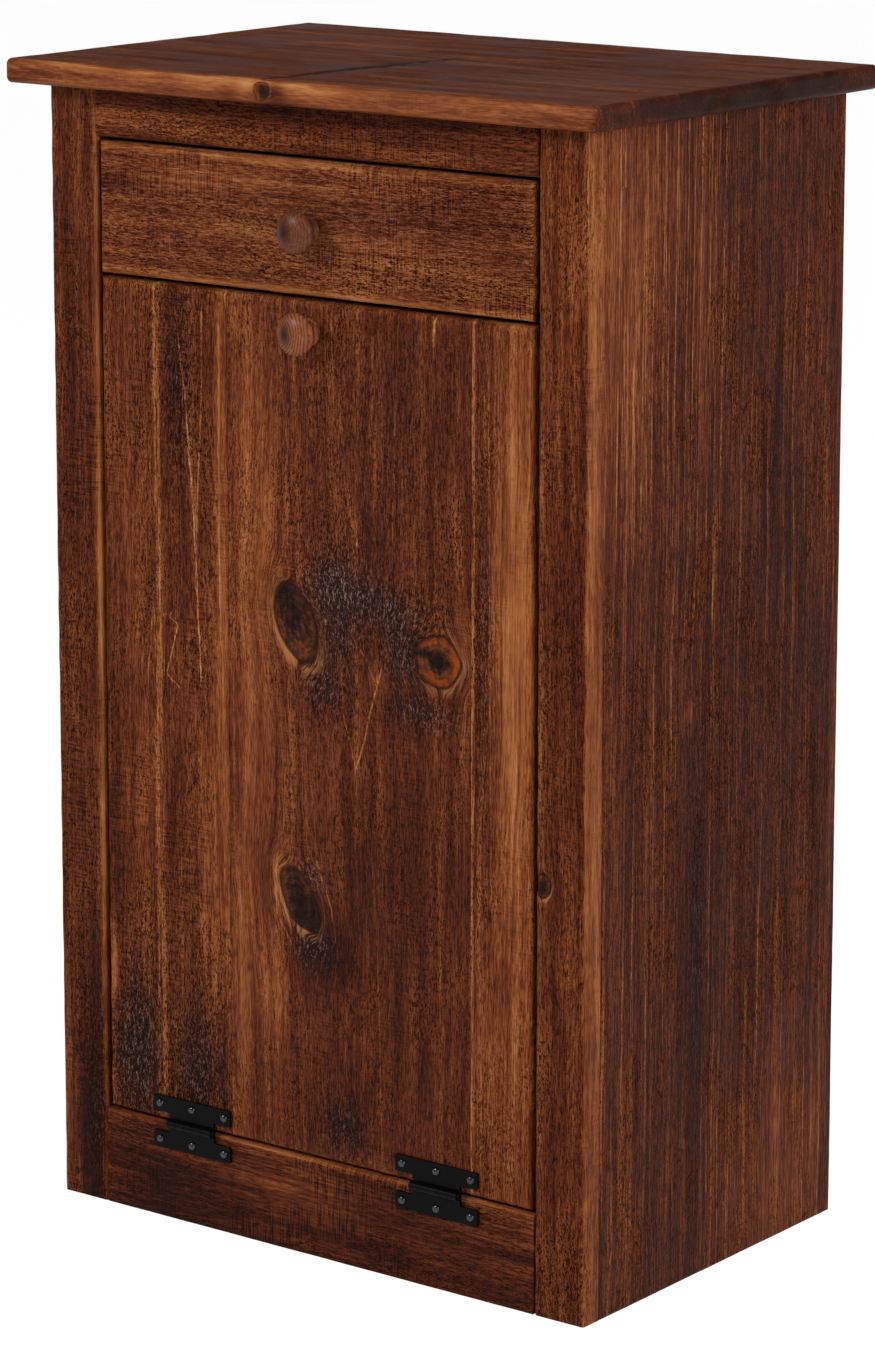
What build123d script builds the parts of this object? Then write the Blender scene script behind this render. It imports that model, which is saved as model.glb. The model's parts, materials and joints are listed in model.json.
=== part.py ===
from build123d import *
from math import cos, radians, sin, tan
import os

# Tilt-out waste cabinet in stained pine. The case has a face frame, a small drawer
# above and, below it, a plank door that tips forward on two bottom hinges. A wooden
# carrier on the back of the door holds a bin that lifts out.
# X runs to the right, Y to the back and Z up. The origin is the point of the floor
# under the middle of the top board. All sizes are in millimetres.

# Case
case_width = 500.0
case_depth = 325.0
case_height = 870.0
side_thick = 19.0
frame_thick = 19.0
stile_width = 45.0
top_rail_height = 38.0
bottom_rail_height = 76.0
stile_round = 3.0
floor_thick = 19.0
floor_height = 50.0
dado_depth = 6.0
back_thick = 6.0
back_rabbet = 9.5
back_lift = 20.0
rear_rail_thick = 19.0
rear_rail_height = 38.0
cleat_size = 38.0

# Top board
top_thick = 19.0
top_over_front = 25.0
top_over_side = 22.0
top_over_back = 10.0
top_edge_round = 5.0
top_corner_round = 3.5
edge_share_most = 0.45

# Door and drawer front, inset and flush with the face frame
door_thick = 19.0
drawer_front_thick = 19.0
drawer_front_height = 99.5
reveal_side = 3.2
reveal_top = 2.5
reveal_middle = 2.8
reveal_low = 2.2
arris_round = 4.5
arris_share_most = 0.45
outer_plank_width = 54.0
inner_plank_width = 69.0
right_plank_width = 54.6

# Drawer box, runners and stops
drawer_length = 280.0
drawer_side_thick = 12.0
drawer_back_thick = 12.0
drawer_front_lip = 8.0
drawer_side_lift = 8.0
kicker_gap = 6.0
drawer_bottom_thick = 6.0
drawer_bottom_lift = 10.0
drawer_groove_depth = 6.0
drawer_kept_in = 80.0
guide_gap = 0.7
guide_height = 46.0
ledge_width = 14.0
ledge_thick = 20.0
runner_gap = 0.3
drawer_stop_width = 16.0
drawer_stop_length = 30.0
drawer_stop_lift = 6.0

# Door battens and bin carrier
batten_thick = 16.0
batten_height = 60.0
top_batten_gap = 17.0
top_batten_drop = 42.0
batten_screw_margin = 9.0
carrier_gap = 7.0
carrier_board = 12.0
carrier_depth = 256.0
carrier_height = 330.0
carrier_lift = 12.0
carrier_corner_round = 40.0
carrier_rail_height = 60.0
door_tilt = 36.0
stop_width = 19.0
stop_thick = 20.0
stop_length = 80.0
stop_start = 300.0
stop_gap = 0.5

# Bin
bin_height = 500.0
bin_gap_side = 4.0
bin_gap_depth = 3.0
bin_wall = 2.4
bin_draft = 2.2
bin_corner_round = 38.0
bin_foot_round = 8.0
bin_lip_width = 7.0
bin_lip_drop = 14.0
bin_seat_gap = 0.3

# Hinges
hinge_offset = 117.5
hinge_leaf_length = 76.0
hinge_leaf_height = 12.5
hinge_leaf_thick = 2.0
hinge_neck_width = 44.0
hinge_neck_reach = 8.0
knuckle_radius = 3.5
knuckle_count = 5
knuckle_gap = 0.3
knuckle_relief = 0.6
pin_radius = 1.5
pin_fit = 0.05
pin_head_radius = 2.6
pin_head_length = 1.5
hinge_corner_round = 1.0

# Turned knobs
knob_projection = 24.0
knob_head_radius = 16.0
knob_neck_radius = 8.0
knob_base_radius = 10.5
knob_base_thick = 3.5
knob_rim_height = 16.5
knob_bore_depth = 15.0
knob_bore_spare = 1.0
knob_neck_share = 0.3
knob_flare_share = 0.6
knob_flare_width_share = 0.35
knob_under_share = 0.92
drawer_knob_drop = 51.0
door_knob_drop = 23.0

# Magnetic catch
catch_drop = 52.0
catch_block_height = 60.0
catch_block_depth = 45.0
catch_thick = 18.0
catch_depth = 24.0
catch_height = 46.0
catch_round = 1.5
magnet_width = 8.0
magnet_height = 22.0
magnet_depth = 9.0
magnet_proud = 0.5
strike_width = 12.0
strike_height = 40.0
strike_thick = 1.2
strike_edge_gap = 1.0
strike_gap = 0.3
catch_fit = 0.1
catch_screw_share = 0.36

# Screws
screw_fit = 0.05
wood_head_radius = 4.0
wood_head_height = 2.2
wood_shank_radius = 1.9
small_head_radius = 2.6
small_head_height = 1.1
small_shank_radius = 1.2
hinge_head_radius = 3.2
hinge_head_height = 1.9
hinge_shank_radius = 1.7
hinge_screw_length = 16.0
knob_screw_head_radius = 4.5
knob_screw_head_height = 2.5
knob_shank_radius = 2.0
grip_length = 13.0
batten_grip_length = 11.0
strike_screw_length = 10.0
row_screw_shares = (0.2, 0.8)

# Places worked out from the sizes
x_case = case_width / 2
x_side_in = x_case - side_thick
x_open = x_case - stile_width
x_door = x_open - reveal_side
y_face = top_over_front - (case_depth + top_over_front + top_over_back) / 2
y_frame_back = y_face + frame_thick
y_case_back = y_face + case_depth
y_back_in = y_case_back - back_thick
y_door_back = y_face + door_thick
y_drawer_front_back = y_face + drawer_front_thick
z_open_top = case_height - top_rail_height
drawer_top = z_open_top - reveal_top
drawer_low = drawer_top - drawer_front_height
door_top = drawer_low - reveal_middle
door_low = bottom_rail_height + reveal_low
z_pin = (bottom_rail_height + door_low) / 2
y_pin = y_face - knuckle_radius

sides = ((-1, "left"), (1, "right"))

os.makedirs("parts", exist_ok=True)


def keep(piece, name):
    """Label a finished piece and write it as a STEP file under the same name."""
    piece.part.label = name
    export_step(piece.part, f"parts/{name}.step")


def board(x, y, z, mode=Mode.ADD):
    """A square-edged board in the open part, from its low and high ends along each axis."""
    with Locations(((x[0] + x[1]) / 2, (y[0] + y[1]) / 2, (z[0] + z[1]) / 2)):
        Box(x[1] - x[0], y[1] - y[0], z[1] - z[0], mode=mode)


def across(side, near, far):
    """The low and high X of a piece that runs from near to far out on one side."""
    return tuple(sorted((side * near, side * far)))


def head_at(point, outward):
    """Where a screw stands: its head at the point, facing outward."""
    return Plane(origin=point, z_dir=outward).location


def flat_screw(length, head_radius, head_height, shank_radius, grow=0.0):
    """A countersunk screw below the origin, or the hole for it where grow is its clearance."""
    with BuildPart() as screw:
        with BuildSketch(Plane.XZ):
            with BuildLine():
                Polyline(
                    (0, 0),
                    (head_radius + grow, 0),
                    (shank_radius + grow, -head_height - grow),
                    (shank_radius + grow, -length - grow),
                    (0, -length - grow),
                    close=True,
                )
            make_face()
        revolve(axis=Axis.Z)
    return screw.part


def domed_screw(length, head_radius, head_height, shank_radius):
    """A round-headed screw: its dome stands above the origin and its shank goes down."""
    with BuildPart() as screw:
        with BuildSketch(Plane.XZ):
            with BuildLine():
                EllipticalCenterArc(
                    (0, 0), head_radius, head_height, start_angle=90, arc_size=-90
                )
                Polyline(
                    (head_radius, 0),
                    (shank_radius, 0),
                    (shank_radius, -length),
                    (0, -length),
                    (0, head_height),
                )
            make_face()
        revolve(axis=Axis.Z)
    return screw.part


def wood_screw(length, grow=0.0):
    """The countersunk wood screw that holds the boards together."""
    return flat_screw(length, wood_head_radius, wood_head_height, wood_shank_radius, grow)


def bore(places, screw_hole):
    """Cut a screw's hole at each place in the open part."""
    for place in places:
        add(screw_hole.moved(place), mode=Mode.SUBTRACT)


def put(places, screw):
    """Add a screw at each place to the open part."""
    for place in places:
        add(screw.moved(place))


# Top board: a wide plank with rounded edges and softened corners
z_top = case_height + top_thick
top_edge = min(top_edge_round, top_thick * edge_share_most)
z_cleat = case_height - cleat_size
x_cleat = x_side_in - cleat_size
y_rear_rail = y_back_in - rear_rail_thick
top_screw_length = cleat_size + grip_length
top_screw_y = [
    y_frame_back + (y_rear_rail - y_frame_back) * share for share in row_screw_shares
]
top_screw_places = [
    head_at((side * (x_side_in - cleat_size / 2), y, z_cleat), (0, 0, -1))
    for side, word in sides
    for y in top_screw_y
]
top_screw_hole = wood_screw(top_screw_length, screw_fit)

with BuildPart() as top_board:
    board(
        (-x_case - top_over_side, x_case + top_over_side),
        (y_face - top_over_front, y_case_back + top_over_back),
        (case_height, z_top),
    )
    fillet(top_board.edges().filter_by(Axis.Z), top_corner_round)
    fillet(top_board.faces().filter_by(Axis.Z).edges(), top_edge)
    bore(top_screw_places, top_screw_hole)
keep(top_board, "top_board")

with BuildPart() as top_screws:
    put(top_screw_places, wood_screw(top_screw_length))
keep(top_screws, "top_screws")

# Face frame: routed round its opening as one frame, then shown as its four members
z_frame_middle = (bottom_rail_height + z_open_top) / 2
hinge_screw_x = [
    side * hinge_offset + step * (hinge_leaf_length / 2 - hinge_leaf_height / 2)
    for side, word in sides
    for step in (-1, 0, 1)
]
z_leaf_middle = hinge_neck_reach + hinge_leaf_height / 2
y_leaf_front = y_face - hinge_leaf_thick
rail_screw_places = [
    head_at((x, y_leaf_front, z_pin - z_leaf_middle), (0, -1, 0)) for x in hinge_screw_x
]
door_screw_places = [
    head_at((x, y_leaf_front, z_pin + z_leaf_middle), (0, -1, 0)) for x in hinge_screw_x
]
hinge_screw = domed_screw(
    hinge_screw_length, hinge_head_radius, hinge_head_height, hinge_shank_radius
)
hinge_screw_hole = flat_screw(
    hinge_screw_length, hinge_shank_radius, 0.0, hinge_shank_radius, screw_fit
)

with BuildPart() as frame_blank:
    with BuildSketch(Plane.XZ.offset(-y_face)):
        with Locations((0, case_height / 2)):
            Rectangle(case_width, case_height)
        with Locations((0, z_frame_middle)):
            Rectangle(2 * x_open, z_open_top - bottom_rail_height, mode=Mode.SUBTRACT)
    extrude(amount=-frame_thick)
    front = frame_blank.faces().sort_by(Axis.Y)[0]
    opening_edges = front.inner_wires()[0].edges()
    fillet(opening_edges, min(arris_round, frame_thick * arris_share_most))
    outer_edges = (
        frame_blank.edges()
        .filter_by(Axis.Z)
        .filter_by(lambda edge: abs(edge.center().Y - y_face) < 0.01)
        .filter_by(lambda edge: abs(abs(edge.center().X) - x_case) < 0.01)
    )
    fillet(outer_edges, stile_round)

for side, word in sides:
    with BuildPart() as stile:
        add(frame_blank.part)
        split(
            bisect_by=Plane.YZ.offset(side * x_open),
            keep=Keep.TOP if side > 0 else Keep.BOTTOM,
        )
    keep(stile, f"stile_{word}")

with BuildPart() as rails:
    add(frame_blank.part)
    split(bisect_by=Plane.YZ.offset(x_open), keep=Keep.BOTTOM)
    split(bisect_by=Plane.YZ.offset(-x_open), keep=Keep.TOP)

with BuildPart() as top_rail:
    add(rails.part)
    split(bisect_by=Plane.XY.offset(z_frame_middle), keep=Keep.TOP)
keep(top_rail, "top_rail")

with BuildPart() as bottom_rail:
    add(rails.part)
    split(bisect_by=Plane.XY.offset(z_frame_middle), keep=Keep.BOTTOM)
    bore(rail_screw_places, hinge_screw_hole)
keep(bottom_rail, "bottom_rail")

# Side panels: rabbeted for the back and grooved for the floor of the case
z_floor_top = floor_height + floor_thick
z_ledge_top = drawer_low + drawer_side_lift - runner_gap
z_ledge_low = z_ledge_top - ledge_thick
z_guide_top = z_ledge_top + guide_height
x_guide = x_door + guide_gap
x_ledge = x_guide - ledge_width
runner_screw_length = x_side_in - x_guide + grip_length
runner_screw_places = [
    head_at((side * x_guide, y, z_ledge_top + guide_height / 2), (-side, 0, 0))
    for side, word in sides
    for y in top_screw_y
]
runner_screw_hole = wood_screw(runner_screw_length, screw_fit)

for side, word in sides:
    with BuildPart() as side_panel:
        board(across(side, x_side_in, x_case), (y_frame_back, y_case_back), (0, case_height))
        board(
            across(side, x_side_in, x_side_in + back_rabbet),
            (y_back_in, y_case_back),
            (0, case_height),
            mode=Mode.SUBTRACT,
        )
        board(
            across(side, x_side_in, x_side_in + dado_depth),
            (y_frame_back, y_case_back),
            (floor_height, z_floor_top),
            mode=Mode.SUBTRACT,
        )
        bore(runner_screw_places, runner_screw_hole)
    keep(side_panel, f"side_panel_{word}")

with BuildPart() as floor_board:
    board(
        (-x_side_in - dado_depth, x_side_in + dado_depth),
        (y_frame_back, y_back_in),
        (floor_height, z_floor_top),
    )
keep(floor_board, "floor_board")

with BuildPart() as back_panel:
    board(
        (-x_side_in - back_rabbet, x_side_in + back_rabbet),
        (y_back_in, y_case_back),
        (back_lift, case_height),
    )
keep(back_panel, "back_panel")

with BuildPart() as rear_rail:
    board(
        (-x_side_in, x_side_in),
        (y_rear_rail, y_back_in),
        (case_height - rear_rail_height, case_height),
    )
keep(rear_rail, "rear_rail")

# Cleats: they hold the top board down and stop the open drawer from tipping
for side, word in sides:
    with BuildPart() as top_cleat:
        board(
            across(side, x_cleat, x_side_in),
            (y_frame_back, y_rear_rail),
            (z_cleat, case_height),
        )
        bore(top_screw_places, top_screw_hole)
    keep(top_cleat, f"top_cleat_{word}")

# Drawer runners: an L in section, a ledge below and a guide beside the drawer
for side, word in sides:
    with BuildPart() as runner:
        with BuildSketch(Plane.XZ.offset(-y_frame_back)):
            with BuildLine():
                Polyline(
                    (side * x_ledge, z_ledge_low),
                    (side * x_side_in, z_ledge_low),
                    (side * x_side_in, z_guide_top),
                    (side * x_guide, z_guide_top),
                    (side * x_guide, z_ledge_top),
                    (side * x_ledge, z_ledge_top),
                    close=True,
                )
            make_face()
        extrude(amount=y_frame_back - y_back_in)
        bore(runner_screw_places, runner_screw_hole)
    keep(runner, f"drawer_runner_{word}")

with BuildPart() as runner_screws:
    put(runner_screw_places, wood_screw(runner_screw_length))
keep(runner_screws, "runner_screws")

# Drawer: front with rabbeted ends, grooved sides, a back that sits on the bottom
z_side_low = drawer_low + drawer_side_lift
z_side_top = case_height - max(cleat_size, top_rail_height) - kicker_gap
x_box_in = x_door - drawer_side_thick
y_side_front = y_face + drawer_front_lip
y_drawer_rear = y_face + drawer_length
z_bottom_low = z_side_low + drawer_bottom_lift
z_bottom_top = z_bottom_low + drawer_bottom_thick
z_drawer_knob = drawer_top - drawer_knob_drop
z_door_knob = door_top - door_knob_drop
knob_screw_length = drawer_front_thick + knob_bore_depth - knob_bore_spare
door_knob_screw_length = door_thick + knob_bore_depth - knob_bore_spare


def knob_screw(length):
    """The pan-headed screw that holds a knob from behind."""
    return domed_screw(
        length, knob_screw_head_radius, knob_screw_head_height, knob_shank_radius
    )


def knob_screw_hole(length):
    """The straight hole that the knob's screw passes through."""
    return flat_screw(length, knob_shank_radius, 0.0, knob_shank_radius, screw_fit)


drawer_knob_place = head_at((0, y_drawer_front_back, z_drawer_knob), (0, 1, 0))
door_knob_place = head_at((0, y_door_back, z_door_knob), (0, 1, 0))

with BuildPart() as drawer_front:
    board((-x_door, x_door), (y_face, y_drawer_front_back), (drawer_low, drawer_top))
    fillet(drawer_front.faces().sort_by(Axis.Y)[0].edges(), arris_round)
    for side, word in sides:
        board(
            across(side, x_box_in, x_door),
            (y_side_front, y_drawer_front_back),
            (drawer_low, drawer_top),
            mode=Mode.SUBTRACT,
        )
    board(
        (-x_box_in, x_box_in),
        (y_drawer_front_back - drawer_groove_depth, y_drawer_front_back),
        (z_bottom_low, z_bottom_top),
        mode=Mode.SUBTRACT,
    )
    bore([drawer_knob_place], knob_screw_hole(knob_screw_length))
keep(drawer_front, "drawer_front")

for side, word in sides:
    with BuildPart() as drawer_side:
        board(
            across(side, x_box_in, x_door),
            (y_side_front, y_drawer_rear),
            (z_side_low, z_side_top),
        )
        board(
            across(side, x_box_in, x_box_in + drawer_groove_depth),
            (y_side_front, y_drawer_rear),
            (z_bottom_low, z_bottom_top),
            mode=Mode.SUBTRACT,
        )
    keep(drawer_side, f"drawer_side_{word}")

with BuildPart() as drawer_back:
    board(
        (-x_box_in, x_box_in),
        (y_drawer_rear - drawer_back_thick, y_drawer_rear),
        (z_bottom_top, z_side_top),
    )
keep(drawer_back, "drawer_back")

with BuildPart() as drawer_bottom:
    board(
        (-x_box_in, x_box_in),
        (y_drawer_front_back - drawer_groove_depth, y_drawer_front_back),
        (z_bottom_low, z_bottom_top),
    )
    board(
        (-x_box_in - drawer_groove_depth, x_box_in + drawer_groove_depth),
        (y_drawer_front_back, y_drawer_rear),
        (z_bottom_low, z_bottom_top),
    )
keep(drawer_bottom, "drawer_bottom")

# Drawer stops: blocks that meet the back of the stiles when the drawer is out
drawer_travel = drawer_length - drawer_kept_in
y_stop_front = y_frame_back + drawer_travel + stop_gap
for side, word in sides:
    with BuildPart() as drawer_stop:
        board(
            across(side, x_door, x_door + drawer_stop_width),
            (y_stop_front, y_stop_front + drawer_stop_length),
            (z_guide_top + drawer_stop_lift, z_side_top),
        )
    keep(drawer_stop, f"drawer_stop_{word}")


def turned_knob(z):
    """A turned mushroom knob that stands out from the face at height z, bored for its screw."""
    neck_rise = knob_rim_height - knob_base_thick
    neck_height = knob_base_thick + neck_rise * knob_neck_share
    flare_height = knob_base_thick + neck_rise * knob_flare_share
    head_reach = knob_head_radius - knob_neck_radius
    flare_radius = knob_neck_radius + head_reach * knob_flare_width_share
    under_radius = knob_head_radius * knob_under_share
    with BuildPart() as turning:
        with BuildSketch(Plane.XZ):
            with BuildLine():
                EllipticalCenterArc(
                    (0, knob_rim_height),
                    knob_head_radius,
                    knob_projection - knob_rim_height,
                    start_angle=90,
                    arc_size=-90,
                )
                ThreePointArc(
                    (knob_head_radius, knob_rim_height),
                    (under_radius, (flare_height + knob_rim_height) / 2),
                    (flare_radius, flare_height),
                )
                ThreePointArc(
                    (flare_radius, flare_height),
                    (knob_neck_radius, neck_height),
                    (knob_base_radius, knob_base_thick),
                )
                Polyline(
                    (knob_base_radius, knob_base_thick),
                    (knob_base_radius, 0),
                    (0, 0),
                    (0, knob_projection),
                )
            make_face()
        revolve(axis=Axis.Z)
        Cylinder(
            knob_shank_radius + screw_fit,
            knob_bore_depth,
            align=(Align.CENTER, Align.CENTER, Align.MIN),
            mode=Mode.SUBTRACT,
        )
    with BuildPart() as knob:
        add(turning.part.moved(head_at((0, y_face, z), (0, -1, 0))))
    return knob


keep(turned_knob(z_drawer_knob), "drawer_knob")
keep(turned_knob(z_door_knob), "door_knob")

with BuildPart() as drawer_knob_screw:
    put([drawer_knob_place], knob_screw(knob_screw_length))
keep(drawer_knob_screw, "drawer_knob_screw")

with BuildPart() as door_knob_screw:
    put([door_knob_place], knob_screw(door_knob_screw_length))
keep(door_knob_screw, "door_knob_screw")

# Bin carrier: two side boards, a floor and two rear rails behind the door
x_carrier = x_open - carrier_gap
x_carrier_in = x_carrier - carrier_board
y_carrier_rear = y_door_back + carrier_depth
y_rear_rails = y_carrier_rear - carrier_board
z_carrier_low = door_low + carrier_lift
z_carrier_floor = z_carrier_low + carrier_board
z_carrier_top = z_carrier_low + carrier_height
batten_levels = {
    "bottom": z_carrier_floor,
    "middle": z_carrier_top - batten_height,
    "top": door_top - top_batten_drop - batten_height,
}
rear_rail_levels = {
    "lower": z_carrier_floor,
    "upper": z_carrier_top - carrier_corner_round - carrier_rail_height,
}
y_batten_back = y_door_back + batten_thick
y_rail_middle = y_carrier_rear - carrier_board / 2
side_screw_spots = [
    (y_door_back + batten_thick / 2, z_carrier_floor + batten_height / 2),
    (y_door_back + batten_thick / 2, z_carrier_top - batten_height / 2),
] + [(y_rail_middle, z + carrier_rail_height / 2) for z in rear_rail_levels.values()]
carrier_screw_length = carrier_board + grip_length
carrier_screw_places = [
    head_at((side * x_carrier, y, z), (side, 0, 0))
    for side, word in sides
    for y, z in side_screw_spots
]
carrier_screw_hole = wood_screw(carrier_screw_length, screw_fit)

# Door: planks glued edge to edge, with a routed arris round the whole door
plank_edges = [
    -x_door,
    -x_door + outer_plank_width,
    -x_door + outer_plank_width + inner_plank_width,
    x_door - right_plank_width,
    x_door,
]
plank_names = ("outer_left", "inner_left", "wide", "right")
plank_middles = [
    (low + high) / 2 for low, high in zip(plank_edges[:-1], plank_edges[1:])
]
batten_screw_length = batten_thick + batten_grip_length
batten_ends = {
    "bottom": x_carrier_in,
    "middle": x_carrier_in,
    "top": x_open - catch_thick - top_batten_gap,
}
batten_screw_reach = min(batten_ends.values()) - batten_screw_margin
batten_screw_x = [max(-batten_screw_reach, min(x, batten_screw_reach)) for x in plank_middles]
batten_screw_places = [
    head_at((x, y_batten_back, z + batten_height / 2), (0, 1, 0))
    for z in batten_levels.values()
    for x in batten_screw_x
]
batten_screw_hole = wood_screw(batten_screw_length, screw_fit)
x_catch = x_open - catch_thick / 2
z_catch = door_top - catch_drop
strike_middle = min(x_catch, x_door - strike_width / 2 - strike_edge_gap)
strike_screw_step = strike_height * catch_screw_share
strike_screw_places = [
    head_at(
        (strike_middle, y_door_back + strike_thick, z_catch + step * strike_screw_step),
        (0, 1, 0),
    )
    for step in (-1, 1)
]


def strike_screw(grow=0.0):
    """The small countersunk screw of the strike plate."""
    return flat_screw(
        strike_screw_length, small_head_radius, small_head_height, small_shank_radius, grow
    )


with BuildPart() as door_blank:
    board((-x_door, x_door), (y_face, y_door_back), (door_low, door_top))
    fillet(door_blank.faces().sort_by(Axis.Y)[0].edges(), arris_round)
    bore(door_screw_places, hinge_screw_hole)
    bore(batten_screw_places, batten_screw_hole)
    bore(strike_screw_places, strike_screw(screw_fit))
    bore([door_knob_place], knob_screw_hole(door_knob_screw_length))

for name, low, high in zip(plank_names, plank_edges[:-1], plank_edges[1:]):
    with BuildPart() as plank:
        add(door_blank.part)
        if low > -x_door:
            split(bisect_by=Plane.YZ.offset(low), keep=Keep.TOP)
        if high < x_door:
            split(bisect_by=Plane.YZ.offset(high), keep=Keep.BOTTOM)
    keep(plank, f"door_plank_{name}")

for word, z in batten_levels.items():
    half = batten_ends[word]
    with BuildPart() as batten:
        board((-half, half), (y_door_back, y_batten_back), (z, z + batten_height))
        bore(batten_screw_places, batten_screw_hole)
        bore(carrier_screw_places, carrier_screw_hole)
    keep(batten, f"door_batten_{word}")

with BuildPart() as batten_screws:
    put(batten_screw_places, wood_screw(batten_screw_length))
keep(batten_screws, "batten_screws")

for side, word in sides:
    with BuildPart() as carrier_side:
        board(
            across(side, x_carrier_in, x_carrier),
            (y_door_back, y_carrier_rear),
            (z_carrier_low, z_carrier_top),
        )
        rear_edges = carrier_side.edges().filter_by(Axis.X).group_by(Axis.Y)[-1]
        fillet(rear_edges.sort_by(Axis.Z)[-1], carrier_corner_round)
        bore(carrier_screw_places, carrier_screw_hole)
    keep(carrier_side, f"carrier_side_{word}")

with BuildPart() as carrier_floor:
    board(
        (-x_carrier_in, x_carrier_in),
        (y_door_back, y_carrier_rear),
        (z_carrier_low, z_carrier_floor),
    )
keep(carrier_floor, "carrier_floor")

for word, z in rear_rail_levels.items():
    with BuildPart() as carrier_rail:
        board(
            (-x_carrier_in, x_carrier_in),
            (y_rear_rails, y_carrier_rear),
            (z, z + carrier_rail_height),
        )
        bore(carrier_screw_places, carrier_screw_hole)
    keep(carrier_rail, f"carrier_rail_{word}")

with BuildPart() as carrier_screws:
    put(carrier_screw_places, wood_screw(carrier_screw_length))
keep(carrier_screws, "carrier_screws")

# Stop cleats: they lean back by the door's tilt, so they land flat on the stiles
stop_face = y_frame_back - y_pin + stop_gap
stop_plane = Plane(
    origin=(0, y_pin, z_pin),
    x_dir=(0, cos(radians(door_tilt)), -sin(radians(door_tilt))),
    z_dir=(1, 0, 0),
)
for side, word in sides:
    near, far = across(side, x_carrier, x_carrier + stop_width)
    with BuildPart() as stop_cleat:
        with BuildSketch(stop_plane.offset(near)):
            with Locations((stop_face + stop_thick / 2, stop_start + stop_length / 2)):
                Rectangle(stop_thick, stop_length)
        extrude(amount=far - near)
    keep(stop_cleat, f"stop_cleat_{word}")

# Bin: a drafted, round-cornered tub with a turned-down lip
z_bin = z_carrier_floor + bin_seat_gap
z_bin_top = z_bin + bin_height
y_bin = (y_batten_back + y_rear_rails) / 2
lip_size = (
    2 * (x_carrier_in - bin_gap_side),
    y_rear_rails - y_batten_back - 2 * bin_gap_depth,
)
mouth_size = tuple(size - 2 * bin_lip_width for size in lip_size)
bin_taper = 2 * bin_height * tan(radians(bin_draft))
foot_size = tuple(size - bin_taper for size in mouth_size)


def tub(low, high, foot, mouth, corner):
    """A drafted tub between two heights, as a solid block with round upright corners."""
    with BuildPart() as block:
        for z, size in ((low, foot), (high, mouth)):
            with BuildSketch(Plane.XY.offset(z)):
                with Locations((0, y_bin)):
                    RectangleRounded(size[0], size[1], corner)
        loft(ruled=True)
    return block.part


def inside(size):
    """A tub's size taken in by its wall on every side."""
    return tuple(length - 2 * bin_wall for length in size)


with BuildPart() as waste_bin:
    add(tub(z_bin, z_bin_top, foot_size, mouth_size, bin_corner_round))
    fillet(waste_bin.faces().sort_by(Axis.Z)[0].edges(), bin_foot_round)
    add(
        tub(
            z_bin + bin_wall,
            z_bin_top,
            inside(foot_size),
            inside(mouth_size),
            bin_corner_round - bin_wall,
        ),
        mode=Mode.SUBTRACT,
    )
    with BuildSketch(Plane.XY.offset(z_bin_top)):
        with Locations((0, y_bin)):
            RectangleRounded(*lip_size, bin_corner_round + bin_lip_width)
            RectangleRounded(*inside(mouth_size), bin_corner_round - bin_wall, mode=Mode.SUBTRACT)
    extrude(amount=-bin_wall)
    with BuildSketch(Plane.XY.offset(z_bin_top)):
        with Locations((0, y_bin)):
            RectangleRounded(*lip_size, bin_corner_round + bin_lip_width)
            RectangleRounded(
                *inside(lip_size),
                bin_corner_round + bin_lip_width - bin_wall,
                mode=Mode.SUBTRACT,
            )
    extrude(amount=-bin_lip_drop)
keep(waste_bin, "waste_bin")

# Hinges: two leaves with interleaved knuckles on a headed pin
knuckle_pitch = hinge_neck_width / knuckle_count
neck_edge = knuckle_radius + knuckle_relief


def hinge_leaf(x, up, first):
    """A leaf whose plate lies above or below the pin, with every second knuckle from first."""
    knuckles = [
        x - hinge_neck_width / 2 + knuckle_pitch * (number + 0.5)
        for number in range(first, knuckle_count, 2)
    ]
    with BuildPart() as leaf:
        with BuildSketch(Plane(origin=(x, y_face, z_pin), x_dir=(1, 0, 0), z_dir=(0, -1, 0))):
            with Locations((0, up * z_leaf_middle)):
                RectangleRounded(hinge_leaf_length, hinge_leaf_height, hinge_corner_round)
            with Locations((0, up * (neck_edge + z_leaf_middle) / 2)):
                Rectangle(hinge_neck_width, z_leaf_middle - neck_edge)
            with Locations(*[(spot - x, up * z_leaf_middle / 2) for spot in knuckles]):
                Rectangle(knuckle_pitch - knuckle_gap, z_leaf_middle)
        extrude(amount=hinge_leaf_thick)
        for spot in knuckles:
            with BuildSketch(Plane.YZ.offset(spot)):
                with Locations((y_pin, z_pin)):
                    Circle(knuckle_radius)
            extrude(amount=(knuckle_pitch - knuckle_gap) / 2, both=True)
        with BuildSketch(Plane.YZ.offset(x)):
            with Locations((y_pin, z_pin)):
                Circle(pin_radius + pin_fit)
        extrude(amount=hinge_neck_width, both=True, mode=Mode.SUBTRACT)
        screws = rail_screw_places if up < 0 else door_screw_places
        bore(screws, hinge_screw_hole)
    return leaf


def hinge_pin(x):
    """A pin through every knuckle, with a low coned head at each end."""
    half = (hinge_neck_width - knuckle_gap) / 2 + pin_fit
    with BuildPart() as turning:
        with BuildSketch(Plane.XZ):
            with BuildLine():
                Polyline(
                    (0, 0),
                    (pin_radius, 0),
                    (pin_radius, half),
                    (pin_head_radius, half),
                    (pin_head_radius, half + pin_head_length / 2),
                    (pin_head_radius / 2, half + pin_head_length),
                    (0, half + pin_head_length),
                    close=True,
                )
            make_face()
        revolve(axis=Axis.Z)
        mirror(about=Plane.XY)
    with BuildPart() as pin:
        add(turning.part.moved(Plane(origin=(x, y_pin, z_pin), z_dir=(1, 0, 0)).location))
    return pin


for side, word in sides:
    x_hinge = side * hinge_offset
    keep(hinge_leaf(x_hinge, -1, 0), f"hinge_rail_leaf_{word}")
    keep(hinge_leaf(x_hinge, 1, 1), f"hinge_door_leaf_{word}")
    keep(hinge_pin(x_hinge), f"hinge_pin_{word}")

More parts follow.
